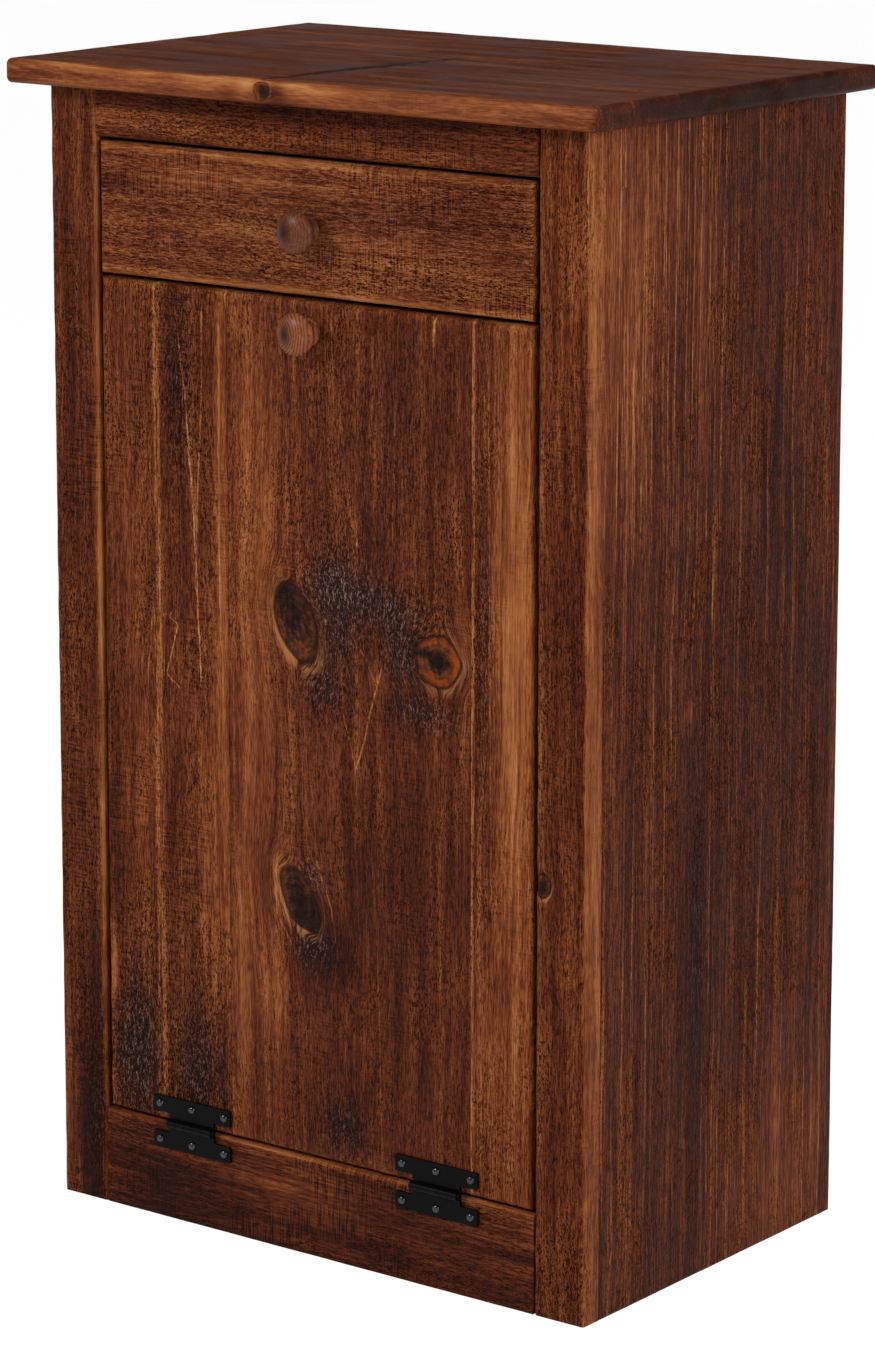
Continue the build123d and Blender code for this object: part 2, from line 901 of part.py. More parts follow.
with BuildPart() as hinge_rail_screws:
    put(rail_screw_places, hinge_screw)
keep(hinge_rail_screws, "hinge_rail_screws")

with BuildPart() as hinge_door_screws:
    put(door_screw_places, hinge_screw)
keep(hinge_door_screws, "hinge_door_screws")

# Magnetic catch: a block on the side panel, a housing with its magnet, a strike plate
y_magnet = y_door_back + strike_thick + strike_gap
y_housing = y_magnet + magnet_proud
catch_screw_length = catch_thick + grip_length
catch_screw_places = [
    head_at((x_open - catch_thick, y_housing + catch_depth / 2, z_catch + step), (-1, 0, 0))
    for step in (-catch_height * catch_screw_share, catch_height * catch_screw_share)
]
catch_screw_hole = wood_screw(catch_screw_length, screw_fit)

with BuildPart() as catch_block:
    board(
        (x_open, x_side_in),
        (y_frame_back, y_frame_back + catch_block_depth),
        (z_catch - catch_block_height / 2, z_catch + catch_block_height / 2),
    )
    bore(catch_screw_places, catch_screw_hole)
keep(catch_block, "catch_block")

with BuildPart() as catch_housing:
    board(
        (x_open - catch_thick, x_open),
        (y_housing, y_housing + catch_depth),
        (z_catch - catch_height / 2, z_catch + catch_height / 2),
    )
    fillet(catch_housing.faces().sort_by(Axis.X)[0].edges(), catch_round)
    board(
        (x_catch - magnet_width / 2 - catch_fit, x_catch + magnet_width / 2 + catch_fit),
        (y_housing, y_magnet + magnet_depth + catch_fit),
        (z_catch - magnet_height / 2 - catch_fit, z_catch + magnet_height / 2 + catch_fit),
        mode=Mode.SUBTRACT,
    )
    bore(catch_screw_places, catch_screw_hole)
keep(catch_housing, "catch_housing")

with BuildPart() as catch_magnet:
    board(
        (x_catch - magnet_width / 2, x_catch + magnet_width / 2),
        (y_magnet, y_magnet + magnet_depth),
        (z_catch - magnet_height / 2, z_catch + magnet_height / 2),
    )
keep(catch_magnet, "catch_magnet")

with BuildPart() as catch_screws:
    put(catch_screw_places, wood_screw(catch_screw_length))
keep(catch_screws, "catch_screws")

with BuildPart() as strike_plate:
    board(
        (strike_middle - strike_width / 2, strike_middle + strike_width / 2),
        (y_door_back, y_door_back + strike_thick),
        (z_catch - strike_height / 2, z_catch + strike_height / 2),
    )
    bore(strike_screw_places, strike_screw(screw_fit))
keep(strike_plate, "strike_plate")

with BuildPart() as strike_screws:
    put(strike_screw_places, strike_screw())
keep(strike_screws, "strike_screws")
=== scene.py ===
# %% [markdown]
# # A tilt-out waste cabinet in stained, rough-sawn pine
#
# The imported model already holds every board, screw and hinge at its real size. This script
# gives them their looks. The boards that show are made again as fine surfaces, with worn
# edges, knots and grain, and everything else keeps its own shape and gets a finish.

# %% Load the frame
import bpy
import json
import math
import numpy as np
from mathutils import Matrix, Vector


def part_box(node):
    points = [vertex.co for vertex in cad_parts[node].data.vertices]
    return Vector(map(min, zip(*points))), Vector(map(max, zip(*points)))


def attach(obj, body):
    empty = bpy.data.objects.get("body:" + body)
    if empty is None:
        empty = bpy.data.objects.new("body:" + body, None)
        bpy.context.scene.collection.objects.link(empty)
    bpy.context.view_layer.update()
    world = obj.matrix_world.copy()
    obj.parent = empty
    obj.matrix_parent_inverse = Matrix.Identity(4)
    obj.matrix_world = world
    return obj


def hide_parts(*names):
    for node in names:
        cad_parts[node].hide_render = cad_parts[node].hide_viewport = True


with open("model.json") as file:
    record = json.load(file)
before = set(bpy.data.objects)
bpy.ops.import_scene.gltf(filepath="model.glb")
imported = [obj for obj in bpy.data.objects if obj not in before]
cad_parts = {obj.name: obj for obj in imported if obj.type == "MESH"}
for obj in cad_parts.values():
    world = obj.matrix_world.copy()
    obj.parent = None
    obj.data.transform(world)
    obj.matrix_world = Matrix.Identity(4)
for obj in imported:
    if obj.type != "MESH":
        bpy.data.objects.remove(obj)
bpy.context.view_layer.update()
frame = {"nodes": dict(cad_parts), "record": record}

# %% [markdown]
# ## Units and colours
#
# Blender works in metres and in linear light. A maker thinks in millimetres and in the
# colours of a paint chart, so one value turns millimetres to metres and one function turns
# an sRGB hex value to linear.

# %% Units and colours
MM = 0.001


def colour(text):
    """Linear colour of an sRGB hex value: each channel is raised by the sRGB curve."""
    channels = np.array([int(text[i:i + 2], 16) for i in (1, 3, 5)]) / 255
    curved = ((channels + 0.055) / 1.055) ** 2.4
    return (*np.where(channels <= 0.04045, channels / 12.92, curved).tolist(), 1.0)


def extent(*nodes):
    """Lowest and highest corner of some nodes together, in millimetres."""
    corners = [np.array(corner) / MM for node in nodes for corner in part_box(node)]
    return np.min(corners, 0), np.max(corners, 0)


print("top board", np.round(extent("top_board"), 1).tolist())

# %% [markdown]
# ## Camera
#
# The photograph looks a little down on the front and the right side. Its upright lines are
# almost parallel, which a camera gives when it stays nearly level and its lens is shifted.
# The shift is kept small here, because the other views keep it too, so the camera stands
# a little higher and looks down more.

# %% Camera
photo_size = (875, 1368)
camera_at = Vector((2.193, -2.865, 1.256))
camera_azimuth = math.radians(37.62)
camera_pitch = math.radians(10.79)
fitted_focal_px = 4983
room_at_the_edges = 0.975
camera_focal_px = fitted_focal_px * room_at_the_edges
camera_centre_px = (423.5, 484.0)

look = Vector((-math.sin(camera_azimuth) * math.cos(camera_pitch),
               math.cos(camera_azimuth) * math.cos(camera_pitch),
               -math.sin(camera_pitch)))
camera = bpy.data.objects.new("camera", bpy.data.cameras.new("camera"))
bpy.context.scene.collection.objects.link(camera)
camera.location = camera_at
camera.rotation_euler = look.to_track_quat("-Z", "Y").to_euler()
camera.data.lens = camera_focal_px * camera.data.sensor_width / photo_size[1]
camera.data.shift_x = (photo_size[0] / 2 - camera_centre_px[0]) / photo_size[1]
camera.data.shift_y = (camera_centre_px[1] - photo_size[1] / 2) / photo_size[1]
camera.data.clip_end = 50
bpy.context.scene.camera = camera
bpy.context.scene.view_settings.view_transform = "Standard"
print("lens", round(camera.data.lens, 1), "shift", round(camera.data.shift_y, 3))

# %% [markdown]
# ## One function for nodes
#
# A material is a chain of nodes. One small function adds a node, sets it up, links it and
# gives back its output, so that a pattern can be written down like a formula. The node used
# most after plain arithmetic is MapRange: it turns the span between its first two numbers
# into the span between its last two and holds the ends.

# %% Adding and feeding nodes
def feed(tree, node, inputs):
    """Gives a node's inputs their values: numbers, hex colours or other nodes' outputs."""
    for key, value in inputs.items():
        if isinstance(value, bpy.types.NodeSocket):
            tree.links.new(value, node.inputs[key])
        else:
            node.inputs[key].default_value = colour(value) if isinstance(value, str) else value


def add(tree, kind, *values, out=0, stops=(), **settings):
    """Adds a node and gives one of its outputs, or all of them where out is None. The kind
    is Blender's name for it without ShaderNode, and a second word is its operation. Values
    go to the inputs in order, or by the keys of a dictionary. The stops of a colour ramp
    are pairs of a place and a hex colour."""
    kind, *operation = kind.split()
    node = tree.nodes.new(f"ShaderNode{kind}")
    if operation:
        node.operation = operation[0]
    for key, value in settings.items():
        setattr(node, key, value)
    by_key = values and isinstance(values[0], dict)
    feed(tree, node, values[0] if by_key else dict(enumerate(values)))
    for _ in stops[2:]:
        node.color_ramp.elements.new(0.5)
    for number, (place, text) in enumerate(stops):
        node.color_ramp.elements[number].position = place
        node.color_ramp.elements[number].color = colour(text)
    return node.outputs if out is None else node.outputs[out]


def weighted_sum(tree, start, parts):
    """A start value plus each pattern times its amount."""
    for value, amount in parts:
        start = add(tree, "Math MULTIPLY_ADD", value, amount, start)
    return start


def new_material(name):
    """A new material, its node tree and its surface shader."""
    material = bpy.data.materials.new(name)
    material.use_nodes = True
    tree = material.node_tree
    return material, tree, tree.nodes["Principled BSDF"]


print("one function for", len([k for k in dir(bpy.types) if k.startswith("ShaderNode")]),
      "kinds of shader node")

# %% [markdown]
# ## Floor, background and light
#
# The photograph has a white sheet and soft, even light from both sides. The floor and the
# world look white to the camera, but light the object only as much as a plain studio would,
# so that colours come out as they are written. In reflections the sheet is white and the
# ceiling above it dim, because a white ceiling would lay a grey veil on the dark lacquer.

# %% Floor and background
floor_half = 12.0
floor_mesh = bpy.data.meshes.new("floor")
floor_mesh.from_pydata([(x, y, 0.0) for x, y in
                        ((-floor_half, -floor_half), (floor_half, -floor_half),
                         (floor_half, floor_half), (-floor_half, floor_half))],
                       [], [(0, 1, 2, 3)])
floor = bpy.data.objects.new("floor", floor_mesh)
bpy.context.scene.collection.objects.link(floor)

# Matt paper hardly shines. Most of its white is a glow that only the camera and mirroring
# surfaces see, so that it throws little light back on the wood.
glow_share = 0.86
glow_strength = 1.10
white_sheet, tree, shader = new_material("white_paper_sheet")
feed(tree, shader, {"Base Color": "#f2f1f0", "Roughness": 0.9})
path = add(tree, "LightPath", out=None)
seen = add(tree, "Math MAXIMUM", path["Is Camera Ray"], path["Is Glossy Ray"])
seen = add(tree, "Math MAXIMUM", seen, path["Is Transmission Ray"])
share = add(tree, "Math MULTIPLY", seen, glow_share)
glow = add(tree, "Emission", (1, 1, 1, 1), glow_strength)
sheet_mix = add(tree, "MixShader", share, shader.outputs[0], glow)
feed(tree, tree.nodes["Material Output"], {"Surface": sheet_mix})
floor_mesh.materials.append(white_sheet)

# The heights are shares of straight up: the white sheet ends and the ceiling begins there.
world_light = 0.32
ceiling_light = 0.05
sheet_ends, ceiling_begins = 0.02, 0.14
world = bpy.data.worlds.new("studio")
bpy.context.scene.world = world
world.use_nodes = True
tree = world.node_tree
path = add(tree, "LightPath", out=None)
rise = add(tree, "SeparateXYZ", add(tree, "TexCoord", out="Generated"), out=2)
sweep = add(tree, "MapRange", rise, sheet_ends, ceiling_begins, 1.0, ceiling_light)
lit = add(tree, "MapRange", path["Is Glossy Ray"], 0.0, 1.0, world_light, sweep)
seen = add(tree, "Math MAXIMUM", path["Is Camera Ray"], path["Is Transmission Ray"])
strength = add(tree, "MapRange", seen, 0.0, 1.0, lit, 1.0)
feed(tree, tree.nodes["Background"], {"Color": (1, 1, 1, 1), "Strength": strength})
print("floor and world ready")

# %% [markdown]
# The lamps are large soft boxes. One stands at the upper left of the camera and makes the
# highlight on the routed edges, one at the right lights the side, and a weak one above
# keeps the top board from going dull.

# %% Soft boxes
object_middle = Vector((0, 0, 0.45))


def soft_box(name, place, size, power):
    """A square area lamp of some size, turned towards the middle of the object."""
    lamp = bpy.data.lights.new(name, "AREA")
    lamp.shape = "SQUARE"
    lamp.size = size
    lamp.energy = power
    holder = bpy.data.objects.new(name, lamp)
    bpy.context.scene.collection.objects.link(holder)
    holder.location = place
    turn = (object_middle - Vector(place)).to_track_quat("-Z", "Y")
    holder.rotation_euler = turn.to_euler()
    return holder


soft_box("key_left", (-1.6, -3.0, 2.4), 0.9, 74)
soft_box("fill_right", (3.4, -0.9, 1.7), 1.2, 59)
soft_box("over", (0.4, 0.6, 3.2), 1.6, 22)

# %% [markdown]
# ## Stained, rough-sawn pine
#
# The boards are pine, sawn and barely planed, then wiped with a dark walnut stain and
# sealed with a satin lacquer. The soft early wood drinks the stain and goes dark, and the
# hard late wood stays orange, so the growth rings show as thin light lines. Torn fibres and
# saw marks hold more stain and glitter under the lacquer; part of that glitter is a painted
# highlight of pale flecks on the torn wood.
#
# A picture of wood wrapped round a board would break at its edges. Instead each board
# carries values on its points, worked out from where they lie in the tree: how far along
# the grain, how far from the pith, how near a knot. The material turns these into colour,
# so the grain runs on over every edge and round every knot.

# %% Patterns that follow the grain
# Length, width and depth of each pattern in mm. Real fibres are finer than 0.1 mm, so they
# are drawn as bundles that still show at this distance.
fibre_size = (9.0, 0.8, 0.8)
strand_size = (60.0, 2.3, 2.3)
band_size = (280.0, 12.0, 12.0)
cloud_size = (75.0, 34.0, 34.0)
tear_size = (3.2, 1.15, 1.15)
saw_size = (1.4, 22.0, 22.0)
saw_patch_size = (110.0, 55.0, 55.0)
ring_line = 4.2
fine_ring = 1.15
ring_line_length = 420.0

stained_pine, tree, shader = new_material("stained_sawn_pine")
grain = add(tree, "Attribute", out="Vector", attribute_name="grain")
rings = add(tree, "Attribute", out="Fac", attribute_name="ring")
wear = add(tree, "Attribute", out="Fac", attribute_name="wear")
surface_at, knot_at, tone_at, streak_at = (
    add(tree, "SeparateXYZ", add(tree, "Attribute", out="Vector", attribute_name=name),
        out=None) for name in ("surface", "knot", "tone", "streak"))
sawn, late_share, planed = surface_at
rho, knot_orange, callus = knot_at
light_tone, dark_tone, rough_tone = tone_at
streak_far, streak_strength, streak_half = streak_at


def scaled_noise(size, detail=2.0, roughness=0.55, distortion=0.0):
    """A noise round zero whose blobs have this length, width and depth in mm."""
    place = add(tree, "VectorMath MULTIPLY", grain, [1 / length for length in size])
    noise = add(tree, "TexNoise", {"Vector": place, "Scale": 1.0, "Detail": detail,
                                   "Roughness": roughness, "Distortion": distortion})
    return add(tree, "Math SUBTRACT", noise, 0.5)


fibre = scaled_noise(fibre_size)
strand = scaled_noise(strand_size)
band = scaled_noise(band_size, 1.0)
cloud = scaled_noise(cloud_size, 3.0, 0.6)
tear = scaled_noise(tear_size, 2.0, 0.6, 1.1)
saw = scaled_noise(saw_size, 1.0)

# A soft map starts and ends gently.
soft = {"interpolation_type": "SMOOTHSTEP"}

# Torn wood lies where a board's rough tone says and in patches, and light wood has less.
rough = add(tree, "MapRange", cloud, -0.02, 0.12, 0.32, 0.85, **soft)
rough = add(tree, "Math SUBTRACT", add(tree, "Math ADD", rough_tone, rough), light_tone)
rough = add(tree, "Math MINIMUM", add(tree, "Math MAXIMUM", rough, 0.08), 1.0)
unplaned = add(tree, "Math SUBTRACT", 1.0, planed)
torn = add(tree, "Math MULTIPLY", add(tree, "Math MULTIPLY", tear, rough), unplaned)
saw_patch = scaled_noise(saw_patch_size, 1.0)
saw_patch = add(tree, "MapRange", saw_patch, 0.0, 0.13, 0.12, 1.0, **soft)
saw_line = add(tree, "Math MULTIPLY", add(tree, "Math MULTIPLY", saw, saw_patch), sawn)
fibre_line = add(tree, "Math MULTIPLY", fibre, weighted_sum(tree, 1.0, [(planed, -0.65)]))

# Late wood shows as thin light lines where the rings meet the face.
ring_along = add(tree, "Math MULTIPLY", add(tree, "SeparateXYZ", grain), 1 / ring_line_length)
ring_out = add(tree, "Math MULTIPLY", weighted_sum(tree, rings, [(fibre, 1.2)]), 1 / ring_line)
ring_noise = add(tree, "TexNoise", {"Vector": add(tree, "CombineXYZ", ring_along, ring_out),
                                    "Scale": 1.0, "Detail": 1.0, "Roughness": 0.6})
late_wood = add(tree, "MapRange", ring_noise, 0.62, 0.69, 0.0, 1.0, **soft)
late_wood = add(tree, "Math MULTIPLY", late_share, late_wood)
early_wood = add(tree, "MapRange", ring_noise, 0.44, 0.34, 0.0, 1.0, **soft)
line_out = add(tree, "Math MULTIPLY", rings, 1 / fine_ring)
line_place = add(tree, "CombineXYZ", ring_along, line_out, 3.0)
fine_line = add(tree, "TexNoise", {"Vector": line_place, "Scale": 1.0, "Detail": 1.0})
fine_line = add(tree, "Math MINIMUM", add(tree, "Math SUBTRACT", fine_line, 0.5), 0.10)
fine_line = add(tree, "Math MULTIPLY", fine_line, late_share)

# A few streaks have their own places: a line with a wandering edge that fades in and out.
# The wide ones are glue joints between planks, so they stay straight.
waver = add(tree, "Math MULTIPLY_ADD", strand, 3.0, add(tree, "Math MULTIPLY", fibre, 1.2))
looseness = add(tree, "MapRange", streak_half, 2.5, 3.0, 1.0, 0.25)
wander = add(tree, "Math MULTIPLY_ADD", waver, looseness, streak_far)
line_share = add(tree, "Math DIVIDE", add(tree, "Math ABSOLUTE", wander), streak_half)
streak = add(tree, "MapRange", line_share, 1.25, 0.5, 0.0, 1.0, **soft)
streak = add(tree, "Math MULTIPLY", streak, streak_strength)
fading = add(tree, "MapRange", strand, -0.16, -0.05, 0.55, 1.0)
streak = add(tree, "Math MULTIPLY", streak, fading)
print("patterns:", len(tree.nodes), "nodes")

# %% Stain, knots and torn wood
# Stain sits in the low places, so the fine pattern darkens more than it lightens.
middle_shade = 0.437
fine = weighted_sum(tree, 0.0, ((fibre_line, 1.25), (torn, 3.2), (saw_line, 0.95)))
fine = add(tree, "Math MINIMUM", fine, weighted_sum(tree, 0.11, [(rough_tone, 0.2)]))
fine_left = add(tree, "MapRange", light_tone, 0.0, 0.9, 1.0, 0.3)
fine = add(tree, "Math MULTIPLY", fine, fine_left)
shade = weighted_sum(tree, middle_shade, (
    (band, 0.45), (cloud, 0.42), (strand, 0.42), (fine, 1.10), (fine_line, 0.56),
    (late_wood, 0.12), (early_wood, -0.07), (light_tone, 0.34), (dark_tone, -0.32),
    (rough_tone, -0.10), (wear, 0.12), (streak, 0.33)))
stain = add(tree, "ValToRGB", shade, stops=(
    (0.00, "#1a0802"), (0.14, "#341005"), (0.28, "#481b0a"), (0.42, "#5c2914"),
    (0.54, "#71391c"), (0.68, "#8f5029"), (0.82, "#a7683a"), (0.93, "#b57c4a"),
    (1.00, "#c08e60")))

# Torn fibre tips dry pale, and their pale pinkish grey flecks are partly a painted highlight
# that stands for glints on the lacquer. The torn wood between them goes near black.
torn_share = add(tree, "MapRange", rough_tone, 0.25, 1.1, 0.0, 0.62)
tips_and_painted_glints = add(tree, "Math ADD", tear, add(tree, "Math MULTIPLY", fibre, 0.5))
tips_and_painted_glints = add(tree, "MapRange", tips_and_painted_glints, 0.07, 0.17, 0.0, 1.0, **soft)
tips_and_painted_glints = add(tree, "Math MULTIPLY", add(tree, "Math MULTIPLY", tips_and_painted_glints, rough_tone), 0.62)

# Inside a knot the rings lie close together round a dark middle, and a line of bark
# parts the knot from the wood. On one side the wood that grew over it shows light.
knot_turns = add(tree, "Math MULTIPLY_ADD", rho, 26.0, add(tree, "Math MULTIPLY", fibre, 9.0))
knot_rings = add(tree, "Math SINE", knot_turns)
knot_shade = weighted_sum(tree, 0.04, (
    (rho, 0.30), (knot_rings, 0.05), (knot_orange, 0.28), (fibre, 0.7), (tear, 0.5),
    (light_tone, 0.35), (dark_tone, -0.30)))
knot_colour = add(tree, "ValToRGB", knot_shade, stops=(
    (0.0, "#120806"), (0.2, "#2c130b"), (0.38, "#4b2814"), (0.56, "#7c3510"),
    (0.75, "#974416"), (1.0, "#b5693a")))
in_knot = add(tree, "MapRange", rho, 1.03, 0.95, 0.0, 1.0, **soft)
bark = add(tree, "Math MULTIPLY", add(tree, "MapRange", rho, 0.88, 0.99, 0.0, 1.0, **soft),
           add(tree, "MapRange", rho, 1.13, 1.02, 0.0, 1.0, **soft))
grown_over = add(tree, "Math MULTIPLY",
                 add(tree, "MapRange", rho, 1.03, 1.14, 0.0, 1.0, **soft),
                 add(tree, "MapRange", rho, 1.5, 1.18, 0.0, 1.0, **soft))
grown_over = add(tree, "Math MULTIPLY", grown_over, callus)
callus_line = add(tree, "MapRange", add(tree, "Math ADD", strand, fibre), -0.08, 0.12, 0.05, 1.0)
grown_over = add(tree, "Math MULTIPLY", grown_over, callus_line)

# These lie over the stained wood in this order, each with its share.
wood_colour = stain
for share, paint in ((torn_share, "#241310"), (tips_and_painted_glints, "#9a7c70"),
                     (add(tree, "Math MINIMUM", grown_over, 0.8), "#a96f42"),
                     (in_knot, knot_colour),
                     (add(tree, "Math MULTIPLY", bark, 0.7), "#180b07")):
    wood_colour = add(tree, "Mix", {0: share, 6: wood_colour, 7: paint}, out=2,
                      data_type="RGBA")

height = weighted_sum(tree, 0.0, (
    (torn, 2.6), (fibre_line, 0.9), (strand, 0.7), (saw_line, 1.1), (late_wood, 0.10),
    (bark, -0.5), (streak, 0.1)))
relief = {"Height": height, "Strength": 0.85, "Distance": 0.9 * MM}
feed(tree, shader, {
    "Base Color": wood_colour, "Normal": add(tree, "Bump", relief),
    "Roughness": weighted_sum(tree, 0.40, ((cloud, 0.5), (rough, 0.12), (in_knot, -0.12))),
    "Specular IOR Level": weighted_sum(tree, 0.05, [(planed, 0.05)])})
print("stained pine:", len(tree.nodes), "nodes")

# %% [markdown]
# ## A sawn board as a lattice
#
# A board is a box with grooves and rabbets, and its edges are worn. A box with a bevel
# could be made by hand, but the grooves would break it. Here three sets of grid lines make
# a lattice of small cells, the cells in a groove are taken out, and one face is laid
# wherever a full cell meets air. The faces share their points, so the shell is closed.

# %% Lattice of a board
FACES = {"left": (0, -1), "right": (0, 1), "front": (1, -1), "back": (1, 1),
         "low": (2, -1), "top": (2, 1)}


def grid_lines(low, high, step, low_round, high_round, extra):
    """Grid lines from low to high. In a rounded end they lie at radius times one less the
    tangent of even angles, which gives even steps round the arc, and between the ends they
    are evenly spaced. Each extra place gets a line of its own."""
    places = [low, high]
    for radii, end, way in ((low_round, low, 1), (high_round, high, -1)):
        for radius in radii:
            turns = 5 if radius > 2 else 2
            angles = np.radians(np.linspace(45, 0, turns + 1))
            places.extend(end + way * radius * (1 - np.tan(angles)))
    flat_from, flat_to = low + max(low_round), high - max(high_round)
    flat_lines = max(2, round((flat_to - flat_from) / step) + 1)
    places.extend(np.linspace(flat_from, flat_to, flat_lines))
    places.extend(place for place in extra if low < place < high)
    return np.unique(np.round(places, 3))


def lattice_shell(lines, cuts):
    """Points and square faces round a lattice of cells, less the cells in the cuts."""
    counts = [len(line) for line in lines]
    middles = [(line[1:] + line[:-1]) / 2 for line in lines]
    solid = np.ones([count - 1 for count in counts], bool)
    for low, high in cuts:
        x, y, z = ((m > a) & (m < b) for m, a, b in zip(middles, low, high))
        solid &= ~(x[:, None, None] & y[None, :, None] & z[None, None, :])
    padded = np.pad(solid, 1)
    quads = []
    for axis in range(3):
        across, up = np.eye(3, dtype=int)[(axis + 1) % 3], np.eye(3, dtype=int)[(axis + 2) % 3]
        for sign in (-1, 1):
            beyond = np.roll(padded, -sign, axis)[1:-1, 1:-1, 1:-1]
            corner = np.argwhere(solid & ~beyond)
            corner[:, axis] += sign > 0
            ring = [corner, corner + across, corner + across + up, corner + up]
            quads.append(np.stack(ring[::sign], 1))
    quads = np.concatenate(quads)
    keys = (quads[..., 0] * counts[1] + quads[..., 1]) * counts[2] + quads[..., 2]
    used, faces = np.unique(keys, return_inverse=True)
    place = np.unravel_index(used, counts)
    points = np.stack([line[index] for line, index in zip(lines, place)], 1)
    return points, faces.reshape(-1, 4)


def ease_edge(points, low, high, edge, radius):
    """Rounds the edge between two named faces. In the plane across it, a point outside the
    quarter circle is drawn in to the circle along the line to its centre."""
    faces = [FACES[word] for word in edge.split()]
    centres = [(high if sign > 0 else low)[axis] - sign * radius for axis, sign in faces]
    arms = [sign * (points[:, axis] - centre) for (axis, sign), centre in zip(faces, centres)]
    reach = np.maximum(np.hypot(*arms), 1e-9)
    outside = (arms[0] > 0) & (arms[1] > 0) & (reach > radius)
    pull = radius / reach
    for (axis, sign), centre, arm in zip(faces, centres, arms):
        points[:, axis] = np.where(outside, centre + sign * arm * pull, points[:, axis])


print("lattice functions ready")

# %% [markdown]
# ## Where a point lies in the tree
#
# Real grain isn't a flat pattern. Growth rings are cylinders round the pith, and a branch
# pushes the fibres aside as a post parts a stream. Both are short formulas, so each point
# of a board can be told its distance from the pith and its place beside the knots.

# %% Grain, rings and knots
def ripple(places, size, seed, waves=7):
    """Soft unevenness from about -1 to 1: the mean of some sine waves near that size, in
    directions and phases drawn from the seed."""
    draw = np.random.default_rng(seed)
    turn = draw.normal(size=(waves, places.shape[1]))
    turn *= 2 * np.pi / size / np.linalg.norm(turn, axis=1, keepdims=True)
    turn *= draw.uniform(0.6, 1.6, (waves, 1))
    return np.sin(places @ turn.T + draw.uniform(0, 2 * np.pi, waves)).mean(1) * 1.8


def knot_distance(along, across, knot, seed):
    """Distance from a knot's middle in shares of its radius, stretched along the grain,
    leaning to one side, and made uneven by a ripple."""
    a = (along - knot["at"][0]) / knot["stretch"]
    b = across - knot["at"][1] - knot.get("lean", 0.0) * a
    uneven = 1 + 0.06 * ripple(np.stack([a, b], 1), knot["radius"] * 1.6, seed)
    return np.hypot(a, b) / knot["radius"] * uneven


def branch_distance(points, branch, seed):
    """Distance from a branch that lies in the board, in shares of its radius, and the
    nearest point of its middle line. The radius runs evenly from one end to the other."""
    first, last = np.array(branch["branch"], float)
    way = last - first
    share = np.clip((points - first) @ way / (way @ way), 0, 1)
    foot = first + share[:, None] * way
    thick = branch["radius"] + share * (branch["tip"] - branch["radius"])
    far = np.linalg.norm(points - foot, axis=1)
    return far / thick * (1 + 0.12 * ripple(points, 14.0, seed)), foot


# How far a knot pushes the fibres aside, as a share of all the way; the shift between two
# boards' patterns in mm; and the distance, in knot radii, that stands for far from any knot.
fibre_push = 0.85
board_shift = 977.0
far_from_knots = 4.0


def grain_values(points, along_axis, across_axis, knots, pith, seed):
    """The board's grain in mm: along, across with the fibres led round the knots, depth.
    Then the distance from the pith with a slow wander, the distance from the nearest knot
    in shares of its radius, how orange it is, and how much wood grew over that side of it.
    A shift by the seed gives each board its own piece of the patterns."""
    depth_axis = 3 - along_axis - across_axis
    along, across = points[:, along_axis], points[:, across_axis].copy()
    depth = points[:, depth_axis].copy()
    nearest = np.full(len(points), far_from_knots)
    orange, callus = np.zeros(len(points)), np.zeros(len(points))
    for number, knot in enumerate(knots):
        if "branch" in knot:
            share, foot = branch_distance(points, knot, seed + number)
            depth -= (depth - foot[:, depth_axis]) / np.maximum(share, 1.0) ** 2
            start = foot[:, [along_axis, across_axis]].T
        else:
            share = knot_distance(along, points[:, across_axis], knot, seed + number)
            start = knot["at"]
        across -= (across - start[1]) / np.maximum(share, 1.0) ** 2 * fibre_push
        closer = share < nearest
        nearest = np.where(closer, share, nearest)
        orange = np.where(closer, knot["orange"], orange)
        angle = np.arctan2(along - start[0], points[:, across_axis] - start[1])
        facing = 0.5 + 0.5 * np.cos(angle - math.radians(knot["rim"]))
        callus = np.where(closer, facing ** 2 * knot["callus"], callus)
    middle = pith["middle"]
    under = pith["depth"] + pith["tilt"] * (along - middle[0])
    wander = 2.4 * ripple(points, 240.0, seed + 50) + 0.7 * ripple(points, 70.0, seed + 51)
    ring = np.hypot(across - middle[1], depth + under) + wander
    grain = np.stack([along + board_shift * seed, across, depth], 1)
    return grain, ring, nearest, orange, callus


# How deep a tone usually reaches into the wood, in mm.
tone_reach = 14.0


def tone_values(points, tones, axis, face):
    """Lightness, darkness and roughness from soft-edged ellipsoids: each adds its strength
    times e to the power of minus its squared distance, in shares of its size. A place of
    two numbers is on the show face, which lies across the axis, and a size of two numbers
    has the usual reach into the wood as its third."""
    total = {kind: np.zeros(len(points)) for kind in ("light", "dark", "rough")}
    for kind, *spot, amount in tones:
        place, size = (one if len(one) == 3 else np.insert(np.array(one, float), axis, usual)
                       for one, usual in zip(spot, (face, tone_reach)))
        far = (((points - np.array(place)) / np.array(size)) ** 2).sum(1)
        total[kind] += amount * np.exp(-far)
    return np.stack([np.clip(sums, 0, 1.5) for sums in total.values()], 1)


def streak_values(along, across, streaks):
    """For each point the nearest streak: its signed distance across in mm, its strength,
    and its half width. A streak's line runs straight between its points."""
    far = np.full(len(along), 99.0)
    strength, half = np.zeros(len(along)), np.ones(len(along))
    for line, width, amount in streaks:
        line = np.array(sorted(line), float)
        off = across - np.interp(along, line[:, 0], line[:, 1])
        past = np.maximum(np.maximum(line[0, 0] - along, along - line[-1, 0]), 0)
        closer = np.hypot(off, past) < np.abs(far)
        far = np.where(closer, np.copysign(np.hypot(off, past), off), far)
        fade = amount * np.exp(-(off / (4 + width)) ** 2 - (past / 9) ** 2)
        strength = np.where(closer, fade, strength)
        half = np.where(closer, width / 2, half)
    return np.stack([far, strength, half], 1)


print("grain functions ready")

